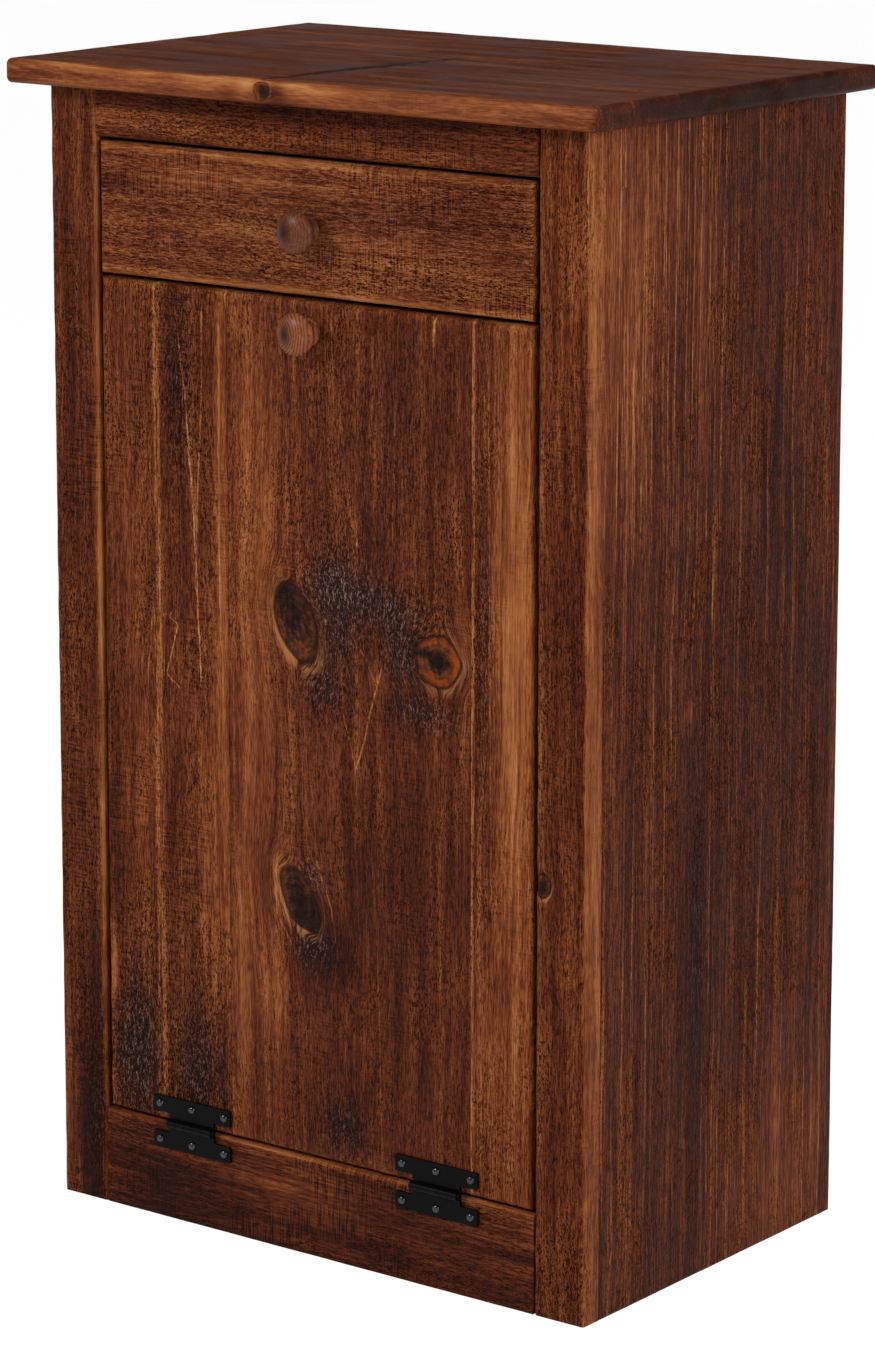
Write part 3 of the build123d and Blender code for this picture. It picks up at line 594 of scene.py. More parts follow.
# %% [markdown]
# ## Building one board
#
# A board's size comes from its node in the frame. Its show face gets a slight waviness, and
# a shallow dish at each knot, cut into the wood so that nothing stands out past the node.

# %% Build a board
# All sizes are in mm. An edge that isn't routed is hardly broken. Unevenness and worn patches
# have a length along an edge, and wear reaches a little way behind the show face. The face
# has long and short waves, each with a length and a depth, and a dish at each knot.
AXES = {"x": 0, "y": 1, "z": 2}
plain_edge = 0.6
edge_unevenness, worn_patch, wear_reach = 46.0, 38.0, 7.0
face_waves = ((120.0, 0.28), (26.0, 0.12))
knot_rim_dish, knot_middle_dish = 0.55, 0.25
depth_step = 5.0
collection = bpy.context.scene.collection


def make_object(name, points, faces, material, attributes):
    """A smooth-shaded mesh object from points in mm, with its values on the points."""
    mesh = bpy.data.meshes.new(name)
    mesh.from_pydata((points * MM).tolist(), [], faces)
    for key, values in attributes.items():
        kind, field = ("FLOAT_VECTOR", "vector") if values.ndim == 2 else ("FLOAT", "value")
        layer = mesh.attributes.new(key, kind, "POINT")
        layer.data.foreach_set(field, values.astype(np.float32).ravel())
    mesh.polygons.foreach_set("use_smooth", np.ones(len(mesh.polygons), bool))
    mesh.materials.append(material)
    mesh.validate()
    piece = bpy.data.objects.new(name, mesh)
    collection.objects.link(piece)
    return piece


def pine_board(node, show, along, rounds, knots, tones, pith, seed, surface, step=2.0,
               cuts=(), body="cabinet", plan_round=0.0, rim_round=0.0, streaks=()):
    """A stained board in place of a node: lattice, worn edges, relief and grain. The three
    numbers of its surface are the strength of the saw marks, the share of late wood, and
    how planed it is: 1 is smooth, 0 is as sawn, and below 0 is rougher."""
    low, high = extent(node)
    show_axis, show_sign = FACES[show]
    along_axis = AXES[along]
    across_axis = 3 - along_axis - show_axis
    ends = {word: [plain_edge] for word in FACES}
    for edge, radius in rounds.items():
        for word in edge.split():
            ends[word].append(radius)
    if plan_round:
        for word in FACES:
            ends[word].append(rim_round if word in ("low", "top") else plan_round)
    steps = [step, step, step]
    steps[show_axis] = depth_step
    words = (("left", "right"), ("front", "back"), ("low", "top"))
    lines = [grid_lines(low[k], high[k], steps[k], ends[words[k][0]], ends[words[k][1]],
                        [cut[side][k] for cut in cuts for side in (0, 1)]) for k in range(3)]
    points, faces = lattice_shell(lines, cuts)
    whole = points.copy()
    for one in words[0] + words[1]:
        for other in words[1] + words[2]:
            edge = f"{one} {other}"
            if FACES[one][0] >= FACES[other][0] or plan_round:
                continue
            radius = rounds.get(edge, rounds.get(f"{other} {one}", plain_edge))
            third = 3 - FACES[one][0] - FACES[other][0]
            worn = 1 + 0.16 * ripple(whole[:, [third]], edge_unevenness, seed + 7)
            ease_edge(points, low, high, edge, radius * np.clip(worn, 0.7, 1.3))
    if plan_round:
        round_plan(points, low, high, plan_round, rim_round, seed)
    near_edge = np.full(len(points), 99.0)
    for k in range(3):
        for end, word in ((low[k], words[k][0]), (high[k], words[k][1])):
            if k != show_axis and max(ends[word]) > plain_edge:
                shares = np.abs(whole[:, k] - end) / max(ends[word])
                near_edge = np.minimum(near_edge, shares)
    face = (high if show_sign > 0 else low)[show_axis]
    from_show = np.abs(whole[:, show_axis] - face)
    wear = np.exp(-(near_edge * 0.9) ** 2) * np.exp(-(from_show / wear_reach) ** 2)
    wear *= np.clip(0.72 + 0.5 * ripple(whole, worn_patch, seed + 9), 0.1, 1.2)
    grain, ring, rho, orange, callus = grain_values(whole, along_axis, across_axis, knots,
                                                    pith, seed)
    thick = high[show_axis] - low[show_axis]
    weight = np.clip(1 - 2 * from_show / thick, 0, 1)
    hollow = np.zeros(len(points))
    for number, (size, depth) in enumerate(face_waves):
        hollow += depth * (0.5 + 0.5 * ripple(whole, size, seed + 11 + number))
    rim = np.exp(-((rho - 1.0) / 0.22) ** 2)
    hollow += knot_rim_dish * rim + knot_middle_dish * (rho < 0.9)
    points[:, show_axis] -= show_sign * hollow * weight
    piece = make_object(f"{node}_sawn", points, faces.tolist(), stained_pine, {
        "grain": grain, "ring": ring, "wear": wear,
        "tone": tone_values(whole, tones, show_axis, face),
        "streak": streak_values(whole[:, along_axis], whole[:, across_axis], streaks),
        "surface": np.tile(np.array(surface), (len(whole), 1)),
        "knot": np.stack([rho, orange, callus], 1)})
    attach(piece, body)
    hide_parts(node)
    print(node, len(points), "points")
    return piece


def round_plan(points, low, high, corner, rim, seed):
    """Rounds a board's corners in plan and then its upper and lower rims. The rims follow the
    rounded outline: a point is measured from the outline's inner rectangle, and drawn in
    to a quarter circle in the upright plane through that direction."""
    middle, half = (low + high) / 2, (high - low) / 2
    inner = half[:2] - corner
    flat = points[:, :2] - middle[:2]
    nearest = np.clip(flat, -inner, inner)
    arm = flat - nearest
    reach = np.maximum(np.hypot(*arm.T), 1e-9)
    way = arm / reach[:, None]
    reach = np.minimum(reach, corner)
    worn = rim * (1 + 0.14 * ripple(flat, 60.0, seed))
    for sign in (-1, 1):
        u = reach - (corner - worn)
        v = sign * (points[:, 2] - middle[2]) - (half[2] - worn)
        size = np.maximum(np.hypot(u, v), 1e-9)
        outside = (u > 0) & (v > 0) & (size > worn)
        reach = np.where(outside, corner - worn + u * worn / size, reach)
        points[:, 2] = np.where(outside, middle[2] + sign * (half[2] - worn + v * worn / size),
                                points[:, 2])
    points[:, :2] = middle[:2] + nearest + way * reach[:, None]


print("board maker ready")

# %% [markdown]
# ## The door's four planks
#
# Four planks are glued edge to edge, and a cutter has rounded the whole door's front edge.
# The wide plank has three knots with torn, dark wood beside them. Places on the door are in
# the frame's own millimetres, read off the photograph with the fitted camera.
#
# A knot has a place along and across the board, a radius, a stretch along the grain, a lean,
# a share of orange, and the side (in degrees) and the strength of the wood grown over its
# rim. A tone is a kind, a place, a size and a strength. A streak is a line of places along
# and across, a width and a strength. The pith crosses its middle place at minus its depth
# on the axis through the board, and it tilts along the grain.

# %% Door planks
# The width of the routed edges in mm, and the two edges that are routed on every door plank
# and on the drawer front.
arris = 4.5
ends_routed = {"front low": arris, "front top": arris}

wide_knots = [
    {"at": (486.0, -14.0), "radius": 19.0, "stretch": 1.45, "lean": -0.42, "orange": 0.05,
     "rim": 222.0, "callus": 1.3},
    {"at": (475.0, 117.0), "radius": 20.0, "stretch": 0.95, "orange": 1.0, "rim": 340.0,
     "callus": 0.8},
    {"at": (276.0, -12.0), "radius": 16.0, "stretch": 1.45, "lean": -0.55, "orange": 0.12,
     "rim": 215.0, "callus": 1.4},
]
wide_tones = [
    ("rough", (20, 522), (27, 22), 1.1),
    ("rough", (24, 488), (22, 26), 0.9),
    ("rough", (84, 498), (20, 20), 1.0),
    ("rough", (52, 512), (26, 14), 0.8),
    ("rough", (84, 470), (16, 16), 0.9),
    ("rough", (12, 440), (18, 18), 0.8),
    ("rough", (104, 434), (26, 10), 0.8),
    ("rough", (0, 296), (10, 12), 0.7),
    ("rough", (0, 243), (17, 15), 0.85),
    ("dark", (8, 240), (30, 25), 1.15),
    ("rough", (30, 104), (20, 20), 0.5),
    ("dark", (50, 130), (80, 80), 0.34),
    ("dark", (84, 650), (56, 110), 0.28),
    ("rough", (66, 620), (66, 90), 0.12),
    ("dark", (72, 500), (60, 50), 0.45),
    ("dark", (92, 440), (34, 24), 0.5),
    ("dark", (70, 320), (70, 70), 0.42),
    ("dark", (8, 440), (26, 24), 0.45),
    ("dark", (-26, 508), (12, 12), 0.9),
    ("light", (-8, 474), (9, 14), 0.7),
    ("light", (-52, 430), (20, 150), 0.38),
    ("light", (-42, 555), (12, 55), 0.30),
    ("light", (-66, 220), (12, 130), 0.45),
    ("light", (-40, 210), (14, 40), 0.45),
    ("light", (-60, 660), (18, 60), 0.25),
    ("light", (137, 490), (7, 20), 0.5),
    ("dark", (104, 479), (13, 3.0), 1.5),
    ("dark", (119, 474), (8, 4.0), 1.0),
    ("light", (62, 452), (12, 14), 0.35),
    ("dark", (30, 106), (22, 18), 0.9),
    ("dark", (110, 250), (26, 90), 0.25),
]
wide_streaks = [
    ([(384, 42), (400, 48), (430, 56), (462, 66)], 1.6, 1.0),
    ([(386, 41), (400, 37), (420, 31), (470, 28)], 1.2, 0.8),
    ([(452, 60), (470, 50), (476, 44)], 1.3, 0.8),
    ([(545, 41), (552, 43)], 3.0, 1.0),
    ([(705, 114), (722, 114.5)], 2.4, 1.4),
    ([(640, 22), (727, 20)], 1.2, 0.5),
    ([(560, 76), (727, 82)], 1.2, 0.45),
    ([(78, 66), (240, 62), (330, 56)], 1.3, 0.5),
    ([(236, 25), (275, 18), (300, 6)], 1.8, 0.8),
    ([(300, -34), (262, -34), (240, -20)], 1.8, 0.9),
]
pine_board("door_plank_wide", "front", "z", ends_routed, wide_knots, wide_tones,
           {"middle": (386.0, 42.0), "depth": 185.0, "tilt": -0.10}, seed=3,
           surface=(0.5, 0.4, 0.0), body="door", streaks=wide_streaks)
pine_board("door_plank_outer_left", "front", "z", {**ends_routed, "left front": arris}, [],
           [("rough", (-172, 130), (26, 60), 0.95),
            ("dark", (-172, 125), (28, 62), 0.85),
            ("dark", (-190, 500), (12, 260), 0.30),
            ("rough", (-176, 560), (18, 120), 0.15),
            ("light", (-195, 190), (5, 30), 0.9),
            ("light", (-165, 330), (14, 70), 0.2),
            ("light", (-178, 560), (14, 160), 0.36)],
           {"middle": (400.0, -150.0), "depth": 200.0, "tilt": 0.04}, seed=5,
           surface=(0.9, 0.4, -0.3), body="door",
           streaks=[([(79, -148.9), (390, -148.4)], 8.4, 0.66),
                    ([(390, -148.2), (727, -147.8)], 6.4, 0.85),
                    ([(430, -158), (500, -151)], 1.2, 0.7)])
pine_board("door_plank_inner_left", "front", "z", ends_routed, [],
           [("light", (-84, 480), (8, 260), 0.66),
            ("light", (-100, 300), (10, 120), 0.25),
            ("dark", (-126, 650), (16, 75), 0.75),
            ("rough", (-126, 650), (15, 70), 0.42),
            ("dark", (-128, 500), (12, 60), 0.30),
            ("dark", (-132, 330), (10, 60), 0.35),
            ("rough", (-114, 118), (26, 56), 0.80),
            ("dark", (-110, 112), (34, 58), 0.80)],
           {"middle": (430.0, -112.0), "depth": 178.0, "tilt": 0.09}, seed=8,
           surface=(0.9, 0.5, -0.3), body="door",
           streaks=[([(79, -146.2), (390, -146.8)], 8.4, 0.70),
                    ([(390, -147.0), (727, -147.4)], 6.4, 0.90),
                    ([(708, -128), (640, -119), (560, -112), (430, -106)], 1.9, 1.2),
                    ([(708, -102.5), (640, -104), (514, -111)], 1.6, 1.0),
                    ([(700, -86), (560, -88), (400, -84)], 2.0, 0.6),
                    ([(430, -140), (474, -137), (480, -133), (470, -128), (420, -126)],
                     1.5, 1.0),
                    ([(700, -128), (500, -124)], 1.2, 0.5)])
pine_board("door_plank_right", "front", "z", {**ends_routed, "right front": arris}, [],
           [("light", (188, 500), (16, 260), 0.85),
            ("light", (168, 540), (12, 120), 0.30),
            ("dark", (156, 560), (6, 120), 0.35),
            ("rough", (160, 520), (9, 160), 0.35),
            ("light", (170, 200), (20, 120), 0.25)],
           {"middle": (400.0, 260.0), "depth": 200.0, "tilt": 0.03}, seed=12,
           surface=(0.4, 0.8, -0.2), body="door",
           streaks=[([(79, 148.8), (727, 149.0)], 3.6, 0.9),
                    ([(300, 166), (727, 162)], 1.4, 0.5)])

# %% [markdown]
# ## Face frame
#
# The two stiles run from the floor to the top, and the rails lie between them. Their inner
# front edges are routed like the door's, and the stiles' outer edges are softened.

# %% Face frame
soft_arris = 3.0
face_y = extent("stile_right")[0][1]
pine_board("stile_left", "front", "z",
           {"left front": soft_arris, "right front": arris}, [],
           [("dark", (-228, 450), (30, 500), 0.30),
            ("dark", (-217, 60), (16, 130), 1.35),
            ("rough", (-214, 90), (12, 90), 0.25),
            ("light", (-246, 120), (6, 130), 0.30),
            ("light", (-205, 450), (3.5, 7, 600), 1.0)],
           {"middle": (400.0, -180.0), "depth": 210.0, "tilt": 0.02},
           surface=(1.1, 0.4, -0.2), seed=15)
pine_board("stile_right", "front", "z",
           {"left front": arris, "right front": soft_arris},
           [{"at": (324.0, 211.5), "radius": 7.5, "stretch": 1.2, "orange": 0.10,
             "rim": 300.0, "callus": 1.5}],
           [("light", (250, face_y + 11, 450), (1.8, 13, 600), 0.72),
            ("light", (249.4, face_y + 0.6, 450), (1.4, 2.0, 600), 0.25),
            ("dark", (243, 450), (5, 2, 600), 0.22),
            ("light", (226, 700), (18, 6, 160), 0.14),
            ("dark", (230, 520), (20, 90), 0.16)],
           {"middle": (400.0, 190.0), "depth": 205.0, "tilt": 0.03},
           surface=(0.5, 0.5, -0.3), seed=18)
# A dark band along the top rail's upper edge is a painted shadow under the top board's overhang.
pine_board("top_rail", "front", "x", {"front low": arris}, [],
           [("dark", (0, 866), (300, 16), 0.45)],
           {"middle": (0.0, 800.0), "depth": 210.0, "tilt": 0.02},
           surface=(1.0, 0.4, -0.3), seed=21)
pine_board("bottom_rail", "front", "x", {"front top": arris}, [],
           [("light", (0, 77), (300, 9, 3.5), 1.0),
            ("dark", (-160, 34), (60, 60), 0.60),
            ("light", (-12, 42), (46, 26), 0.34),
            ("dark", (120, 40), (50, 50), 0.28),
            ("dark", (0, 0), (300, 16), 0.40),
            ("light", (-30, 45), (90, 14), 0.22),
            ("light", (120, 30), (50, 18), 0.12),
            ("dark", (60, 40), (26, 40), 0.35),
            ("dark", (0, 40), (300, 60), 0.34)],
           {"middle": (0.0, 20.0), "depth": 205.0, "tilt": 0.02},
           surface=(2.2, 0.9, -0.2), seed=24)

# %% [markdown]
# ## Drawer front
#
# Its grain lies across. Its ends are rabbeted for the drawer's sides and its back is
# grooved for the bottom, so those pieces' own boxes are cut from the lattice.

# %% Drawer front
def cut_for(node, **limits):
    """The box that a node takes out of a board, with some of its limits moved outwards: a
    or b is its low or high end, followed by the axis."""
    low, high = extent(node)
    for key, value in limits.items():
        (low if key[0] == "a" else high)[AXES[key[1]]] = value
    return low, high


# A limit in mm that lies outside every piece.
past_all = 999
drawer_cuts = [cut_for("drawer_side_left", ax=-past_all, az=0, bz=past_all, by=past_all),
               cut_for("drawer_side_right", bx=past_all, az=0, bz=past_all, by=past_all),
               cut_for("drawer_bottom", by=past_all)]
pine_board("drawer_front", "front", "x",
           {**ends_routed, "left front": arris, "right front": arris}, [],
           [("rough", (0, 780), (260, 80), 0.42),
            ("light", (0, 780), (300, 80), 0.19),
            ("light", (-90, 812), (90, 14), 0.35),
            ("light", (0, 731.5), (280, 7, 5), 0.62),
            ("light", (0, 827.5), (280, 7, 4), 0.50),
            ("light", (20, 775), (200, 40), 0.30),
            ("dark", (150, 790), (70, 30), 0.3)],
           {"middle": (0.0, 700.0), "depth": 215.0, "tilt": 0.03}, seed=27,
           surface=(1.7, 0.3, -0.45), cuts=drawer_cuts, body="drawer")

# %% [markdown]
# ## Side panels
#
# Each side is one wide board with a groove for the floor board and a rabbet for the back.

# %% Side panels
side_tones = [("light", (-130, 760), (16, 260), 0.36),
              ("light", (-110, 740), (26, 130), 0.32),
              ("light", (-17, 730), (15, 120), 0.22),
              ("light", (-70, 830), (60, 80), 0.28),
              ("light", (166, 600), (7, 300), 0.30),
              ("light", (110, 50), (90, 90), 0.45),
              ("dark", (40, 450), (220, 900), 0.42),
              ("dark", (-15, 270), (24, 190), 0.55),
              ("dark", (90, 480), (80, 200), 0.10),
              ("rough", (-16, 280), (8, 110), 0.30),
              ("rough", (80, 500), (70, 280), 0.10),
              ("light", (-27, 431), (4, 8), 0.6)]
# Light streaks run up the whole panel, and more of them start higher up. Heights in mm.
foot, middle_height, head = 60, 560, 868
side_streaks = [([(foot, y), (head, y + 0.004 * y)], 1.6, amount) for y, amount in
                ((-108, 0.5), (-97, 0.35), (-84, 0.6), (-72, 0.3), (-58, 0.55), (-44, 0.4),
                 (1, 0.8), (16, 0.3), (30, 0.6), (58, 0.35), (150, 0.3))]
side_streaks += [([(middle_height, y), (head, y + 3)], 1.1, 0.95) for y in
                 (-121, -115, -102, -91, -79, -66, -51, -37, -29, -20, -8, 9, 23)]
for word, sign, seed in (("right", 1, 31), ("left", -1, 37)):
    pine_board(f"side_panel_{word}", show=word, along="z", rounds={}, knots=[],
               tones=side_tones, seed=seed, surface=(0.2, 1.5, -0.3), step=2.5,
               pith={"middle": (500.0, -290.0), "depth": -sign * 330.0, "tilt": 0.02},
               cuts=[extent("floor_board"), cut_for("back_panel", az=0, by=past_all)],
               streaks=side_streaks)

# %% [markdown]
# ## Top board
#
# The top is a wide plank with rounded corners and rims. A branch ran across it: it shows as
# a dark spike from the front edge to a small knot near the middle.

# %% Top board
top_corner, top_rim = 3.5, 5.0
top_low, top_high = extent("top_board")
top_z, front_y = top_high[2], top_low[1]
pine_board("top_board", "top", "x", {},
           [{"branch": ((-24, front_y - 4, top_z - 8), (0, 22, top_z + 1)), "radius": 7.5,
             "tip": 2.4, "orange": 0.0, "rim": 150.0, "callus": 0.9}],
           [("dark", (0, 0), (400, 400, 40), 0.20),
            ("light", (0, front_y, top_z - 9), (300, 6, 14), 0.72),
            ("light", (0, front_y + 1, top_z - 2), (300, 2.5, 3), 0.55),
            ("light", (0, front_y + 1, top_z - 17), (300, 2.5, 3), 0.35),
            ("dark", (top_high[0], 20, top_z - 9), (5, 190, 18), 1.3),
            ("dark", (-14, front_y, top_z - 9), (12, 7, 9), 1.1),
            ("light", (-38, front_y, top_z - 6), (7, 5, 5), 0.5),
            ("dark", (-55, front_y, top_z - 12), (10, 6, 6), 0.6),
            ("dark", (-16, -80), (8, 70), 0.6),
            ("light", (-100, 60), (60, 60), 0.12),
            ("light", (190, -70), (60, 60), 0.10)],
           {"middle": (0.0, 40.0), "depth": -930.0, "tilt": 0.06}, seed=41, step=2.5,
           plan_round=top_corner, rim_round=top_rim, surface=(0.25, 0.8, 0.30),
           streaks=[([(-143, 22), (-60, 20), (-6, 23)], 1.5, 0.7),
                    ([(2, 23), (20, 25)], 1.6, 0.5)])

# %% [markdown]
# ## Knobs
#
# The two knobs are turned on a lathe. A turning is a profile carried round an axis, which
# is just what a surface of revolution is.

# %% A turned shape
def revolve(profile, segments):
    """A profile of (radius, height) carried round the height axis: x is radius times the
    cosine and y radius times the sine of even angles. Each end closes in one point."""
    radius, rise = profile.T
    angle = np.linspace(0, 2 * np.pi, segments, endpoint=False)
    middle = slice(1, -1)
    rings = np.stack([np.outer(radius[middle], np.cos(angle)),
                      np.outer(radius[middle], np.sin(angle)),
                      np.outer(rise[middle], np.ones(segments))], 2)
    count = len(rings)
    points = np.concatenate([[[0, 0, rise[0]]], rings.reshape(-1, 3), [[0, 0, rise[-1]]]])
    first = 1 + np.arange(count - 1)[:, None] * segments + np.arange(segments)
    after = 1 + np.arange(count - 1)[:, None] * segments + (np.arange(segments) + 1) % segments
    quads = np.stack([first, after, after + segments, first + segments], 2).reshape(-1, 4)
    spin = np.arange(segments)
    start = np.stack([np.zeros(segments, int), 1 + (spin + 1) % segments, 1 + spin], 1)
    last = 1 + (count - 1) * segments
    finish = np.stack([last + spin, last + (spin + 1) % segments,
                       np.full(segments, len(points) - 1)], 1)
    return points, quads, np.concatenate([start, finish])


def knob_profile(radius, reach):
    """Base collar, hollow neck and mushroom head. The neck is a half wave of a cosine
    and the head a quarter ellipse, with a small roll where they meet."""
    base, neck, collar = 0.656 * radius, 0.40 * radius, 3.5
    waist, rim = 0.44 * reach, 0.69 * reach
    roll_gap, foot_edge = 1.3, 1.1
    turn = np.linspace(0, 1, 16)
    throat = np.stack([neck + (0.9 * base - neck) * (0.5 + 0.5 * np.cos(np.pi * turn)) ** 3.0,
                       collar + (waist - collar) * turn], 1)
    climb = (rim - roll_gap - waist) * np.sin(turn * np.pi / 2) ** 0.6
    flare = np.stack([neck + (0.94 * radius - neck) * turn ** 1.6, waist + climb], 1)
    dome_turn = np.linspace(-0.14, 1, 26) * np.pi / 2
    dome = np.stack([radius * np.cos(dome_turn), rim + (reach - rim) * np.sin(dome_turn)], 1)
    roll = np.radians(np.linspace(-70, 70, 9))
    foot = np.stack([base - foot_edge + foot_edge * np.cos(roll),
                     collar / 2 * (1 + np.sin(roll))], 1)
    foot = np.concatenate([[[0, 0], [base * 0.90, 0]], foot, [[base * 0.90, collar]]])
    dome[-1, 0] = 0
    return np.concatenate([foot, throat[1:], flare[1:], dome])


print("lathe functions ready")

# %% Turned pine
# Turned pine cut along a young log shows its rings as arcs. The head carries painted shade
# and dark reflection on its left, and the neck and the head's underside a painted shadow. Sizes
# are in mm.
knob_ring = 2.1
pore_size = 2.2
turned_wood, tree, shader = new_material("stained_turned_pine")
rings, painted_shade, clear = (add(tree, "Attribute", out="Fac", attribute_name=name)
                         for name in ("ring", "painted_shade", "clear"))
pores = add(tree, "TexNoise", {"Vector": add(tree, "TexCoord", out="Object"),
                               "Scale": 1 / (pore_size * MM), "Detail": 3.0})
ring_turns = add(tree, "Math MULTIPLY_ADD", rings, 2 * math.pi / knob_ring,
                 add(tree, "Math MULTIPLY", pores, 1.8))
wave = add(tree, "Math SINE", ring_turns)
clear_wave = add(tree, "Math MULTIPLY", wave, clear)
shade = weighted_sum(tree, 0.20, ((clear_wave, 0.16), (clear, 0.24), (pores, 0.5)))
turned = add(tree, "ValToRGB", shade, stops=((0.0, "#2e1409"), (0.50, "#5c3322"),
                                             (1.0, "#a96038")))
# The painted shade on the head and the painted shadow in the neck darken the turning to near
# black.
feed(tree, shader, {
    "Base Color": add(tree, "Mix", {0: painted_shade, 6: turned, 7: "#1c0d08"}, out=2,
                      data_type="RGBA"),
    "Roughness": 0.32, "Specular IOR Level": 0.10,
    "Normal": add(tree, "Bump", {"Height": wave, "Strength": 0.15, "Distance": 0.1 * MM})})
print("turned pine:", len(tree.nodes), "nodes")

# %% Turned knobs
# The pith lies left of the turning's axis. A dark patch a little left of the head's middle is
# painted shade and dark reflection, and the neck gets a painted shadow. Places and sizes are in
# mm.
pith_left = 12
patch_left, patch_width, patch_height, head_begins = 5, 6.5, 9, 12
neck_at, neck_length = 8.0, 3.4
segments = 64
for node, body, clearness, seed in (("drawer_knob", "drawer", 0.35, 71),
                                    ("door_knob", "door", 1.0, 72)):
    low, high = extent(node)
    centre, knob_radius = (low + high) / 2, (high[0] - low[0]) / 2
    local, quads, ends = revolve(knob_profile(knob_radius, high[1] - low[1]), segments)
    side, up, out = local.T
    points = np.stack([centre[0] + side, high[1] - out, centre[2] + up], 1)
    ring = np.hypot(side + pith_left, up) + 0.5 * ripple(local, 16.0, seed)
    # Painted shade and dark reflection on the left of the head.
    painted_left_shade = 0.95 * np.exp(-((side + patch_left) / patch_width) ** 2 - (up / patch_height) ** 2)
    painted_left_shade *= out > head_begins
    # Painted shadow in the neck and under the head.
    painted_neck_shadow = 0.85 * np.exp(-((out - neck_at) / neck_length) ** 2)
    knob = make_object(f"{node}_turned", points, quads.tolist() + ends.tolist(), turned_wood,
                       {"ring": ring, "painted_shade": np.maximum(painted_left_shade, painted_neck_shadow),
                        "clear": np.full(len(local), clearness)})
    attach(knob, body)
    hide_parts(node)
    print(node, "radius", round(float(knob_radius), 2), len(points), "points")

# %% [markdown]
# ## Plain materials of the hidden pieces
#
# Inside are planed pine, birch plywood, a polypropylene bin and zinc-plated screws. Their
# shapes are right as they are, so they only get a finish.

# %% Raw pine and plywood
# Bare planed pine is pale yellow with a fine straight grain, and it is dull because nothing
# seals it. Birch plywood is paler and more even. The streaks are about 4 mm wide and
# 200 mm long, so this many lie in a metre across the grain and along it, and there are
# streaks five times as large among them.
across_a_metre, along_a_metre, broader = 240.0, 5.0, 5


def planed_wood(name, along, dark, light):
    """Bare planed wood with its grain along an axis: stretched noise gives the streaks
    between a dark and a light colour."""
    material, tree, shader = new_material(name)
    place = add(tree, "TexCoord", out="Object")
    scale = [across_a_metre] * 3
    scale[AXES[along]] = along_a_metre
    broad_scale = [one / broader for one in scale]
    lines = add(tree, "Mapping", {0: place, "Scale": scale})
    fine = add(tree, "TexNoise", {"Vector": lines, "Scale": 1.0, "Detail": 3.0})
    wide = add(tree, "Mapping", {0: place, "Scale": broad_scale})
    broad = add(tree, "TexNoise", {"Vector": wide, "Scale": 1.0, "Detail": 2.0,
                                   "Distortion": 0.4})
    half = add(tree, "Math MULTIPLY", add(tree, "Math ADD", fine, broad), 0.5)
    feed(tree, shader, {
        "Base Color": add(tree, "ValToRGB", half, stops=((0.34, dark), (0.62, light))),
        "Roughness": 0.62,
        "Normal": add(tree, "Bump", {"Height": fine, "Strength": 0.3, "Distance": 0.2 * MM})})
    return material


pine_along = {axis: planed_wood(f"planed_pine_{axis}", axis, "#b98a55", "#e2c190")
              for axis in AXES}
veneer = {axis: planed_wood(f"birch_plywood_{axis}", axis, "#c9a878", "#e6cfa6")
          for axis in "xz"}


def dress(node, material):
    """Gives a carried-over node its material."""
    slots = frame["nodes"][node].material_slots
    if slots:
        for slot in slots:
            slot.material = material
    else:
        frame["nodes"][node].data.materials.append(material)


sides = ("left", "right")
pine_nodes = {"x": ["rear_rail", "carrier_floor", "carrier_rail_lower", "carrier_rail_upper",
                    "drawer_back", "floor_board",
                    *(f"door_batten_{place}" for place in ("bottom", "middle", "top"))],
              "y": [f"{piece}_{side}" for side in sides for piece in
                    ("top_cleat", "drawer_runner", "drawer_side", "drawer_stop")],
              "z": ["catch_block", *(f"{piece}_{side}" for side in sides for piece in
                                     ("carrier_side", "stop_cleat"))]}
for axis, nodes in pine_nodes.items():
    for node in nodes:
        dress(node, pine_along[axis])
for node, axis in (("back_panel", "z"), ("drawer_bottom", "x")):
    dress(node, veneer[axis])
print("planed pine on", sum(len(nodes) for nodes in pine_nodes.values()), "nodes")


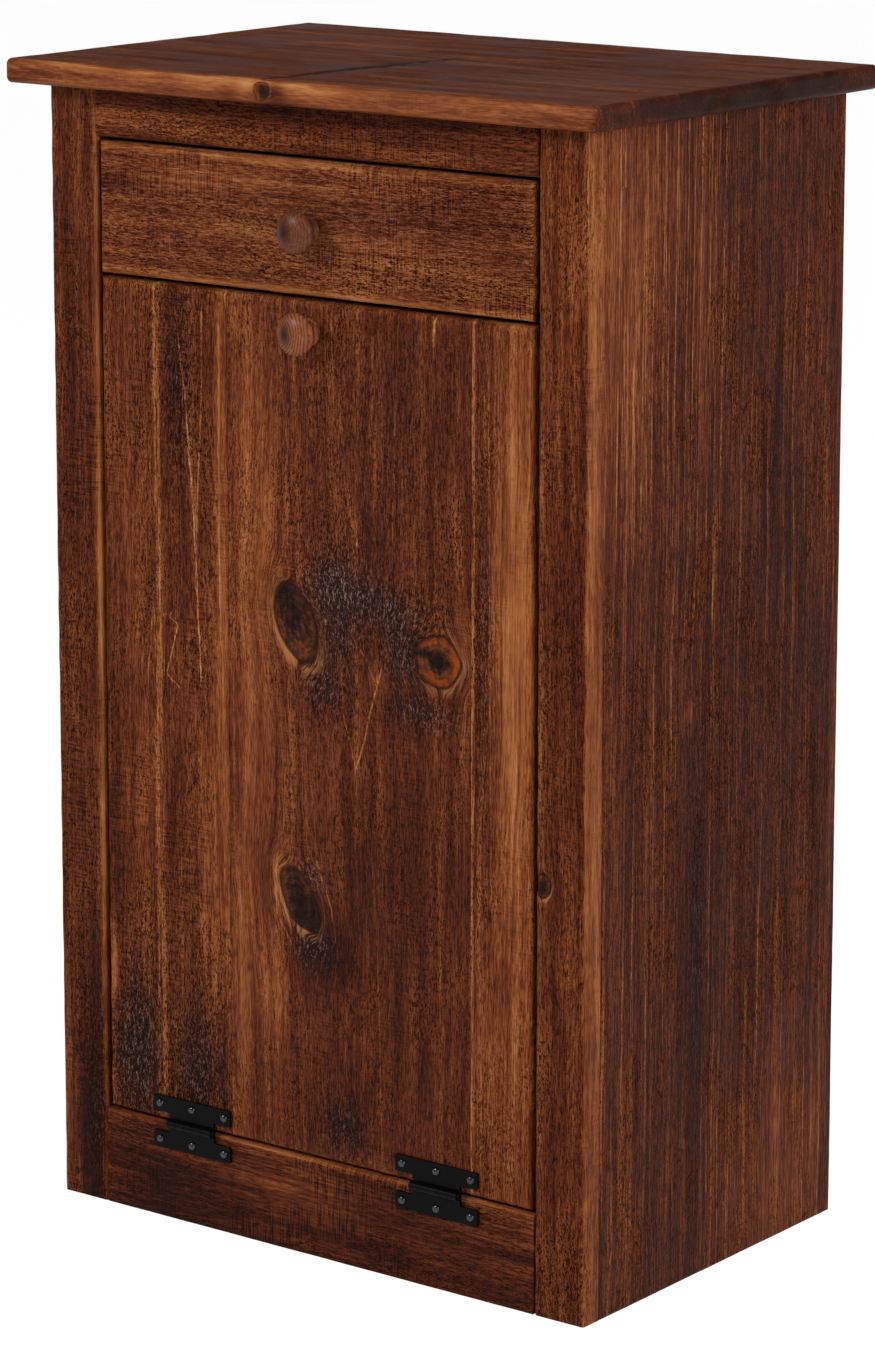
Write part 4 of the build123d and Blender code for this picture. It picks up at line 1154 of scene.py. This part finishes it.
# %% Metals and plastics
def plain_finish(name, shade, metallic, roughness, grain_mm, depth_mm, gloss=0.5,
                 vary=0.06):
    """A surface of one colour with fine uneven gloss and relief of a grain size in mm."""
    material, tree, shader = new_material(name)
    noise = add(tree, "TexNoise", {"Vector": add(tree, "TexCoord", out="Object"),
                                   "Scale": 1 / (grain_mm * MM), "Detail": 3.0})
    relief = {"Height": noise, "Strength": 0.4, "Distance": depth_mm * MM}
    feed(tree, shader, {
        "Base Color": shade, "Metallic": metallic, "Specular IOR Level": gloss,
        "Roughness": add(tree, "MapRange", noise, 0.0, 1.0, roughness - vary, roughness + vary),
        "Normal": add(tree, "Bump", relief)})
    return material


# Lacquer baked on stamped steel is nearly black with a soft, slightly pebbled shine.
black_steel = plain_finish("black_lacquered_steel", "#070606", 0.0, 0.40, 1.2, 0.10, 0.06)
# Black oxide leaves the screw heads dark bare metal, so their domes catch small bright points.
black_screw = plain_finish("black_oxide_steel", "#45454b", 1.0, 0.30, 0.8, 0.03, 0.5)
# Zinc plating gives the hidden screws a pale grey, slightly matt metal.
zinc_steel = plain_finish("zinc_plated_steel", "#b9b8b2", 1.0, 0.32, 0.8, 0.02)
# A pressed and fired magnet is dull and dark grey.
ferrite = plain_finish("ferrite_magnet", "#3b3a3a", 0.0, 0.55, 0.6, 0.04)
# Moulded nylon is smooth and looks a little waxy.
catch_nylon = plain_finish("brown_nylon", "#4a2f22", 0.0, 0.48, 0.5, 0.03)
# The bin's moulded polypropylene is even, dark grey and half matt.
bin_plastic = plain_finish("moulded_polypropylene", "#3c3f42", 0.0, 0.5, 1.0, 0.05)
finishes = {"hinge_black": black_steel, "zinc_steel": zinc_steel, "magnet": ferrite,
            "catch_plastic": catch_nylon, "bin_plastic": bin_plastic}
for part in frame["record"]["subparts"]:
    if part["material_slot"] in finishes:
        dress(part["node"], finishes[part["material_slot"]])
for node in ("hinge_door_screws", "hinge_rail_screws"):
    dress(node, black_screw)
print("finishes on", sorted(finishes))
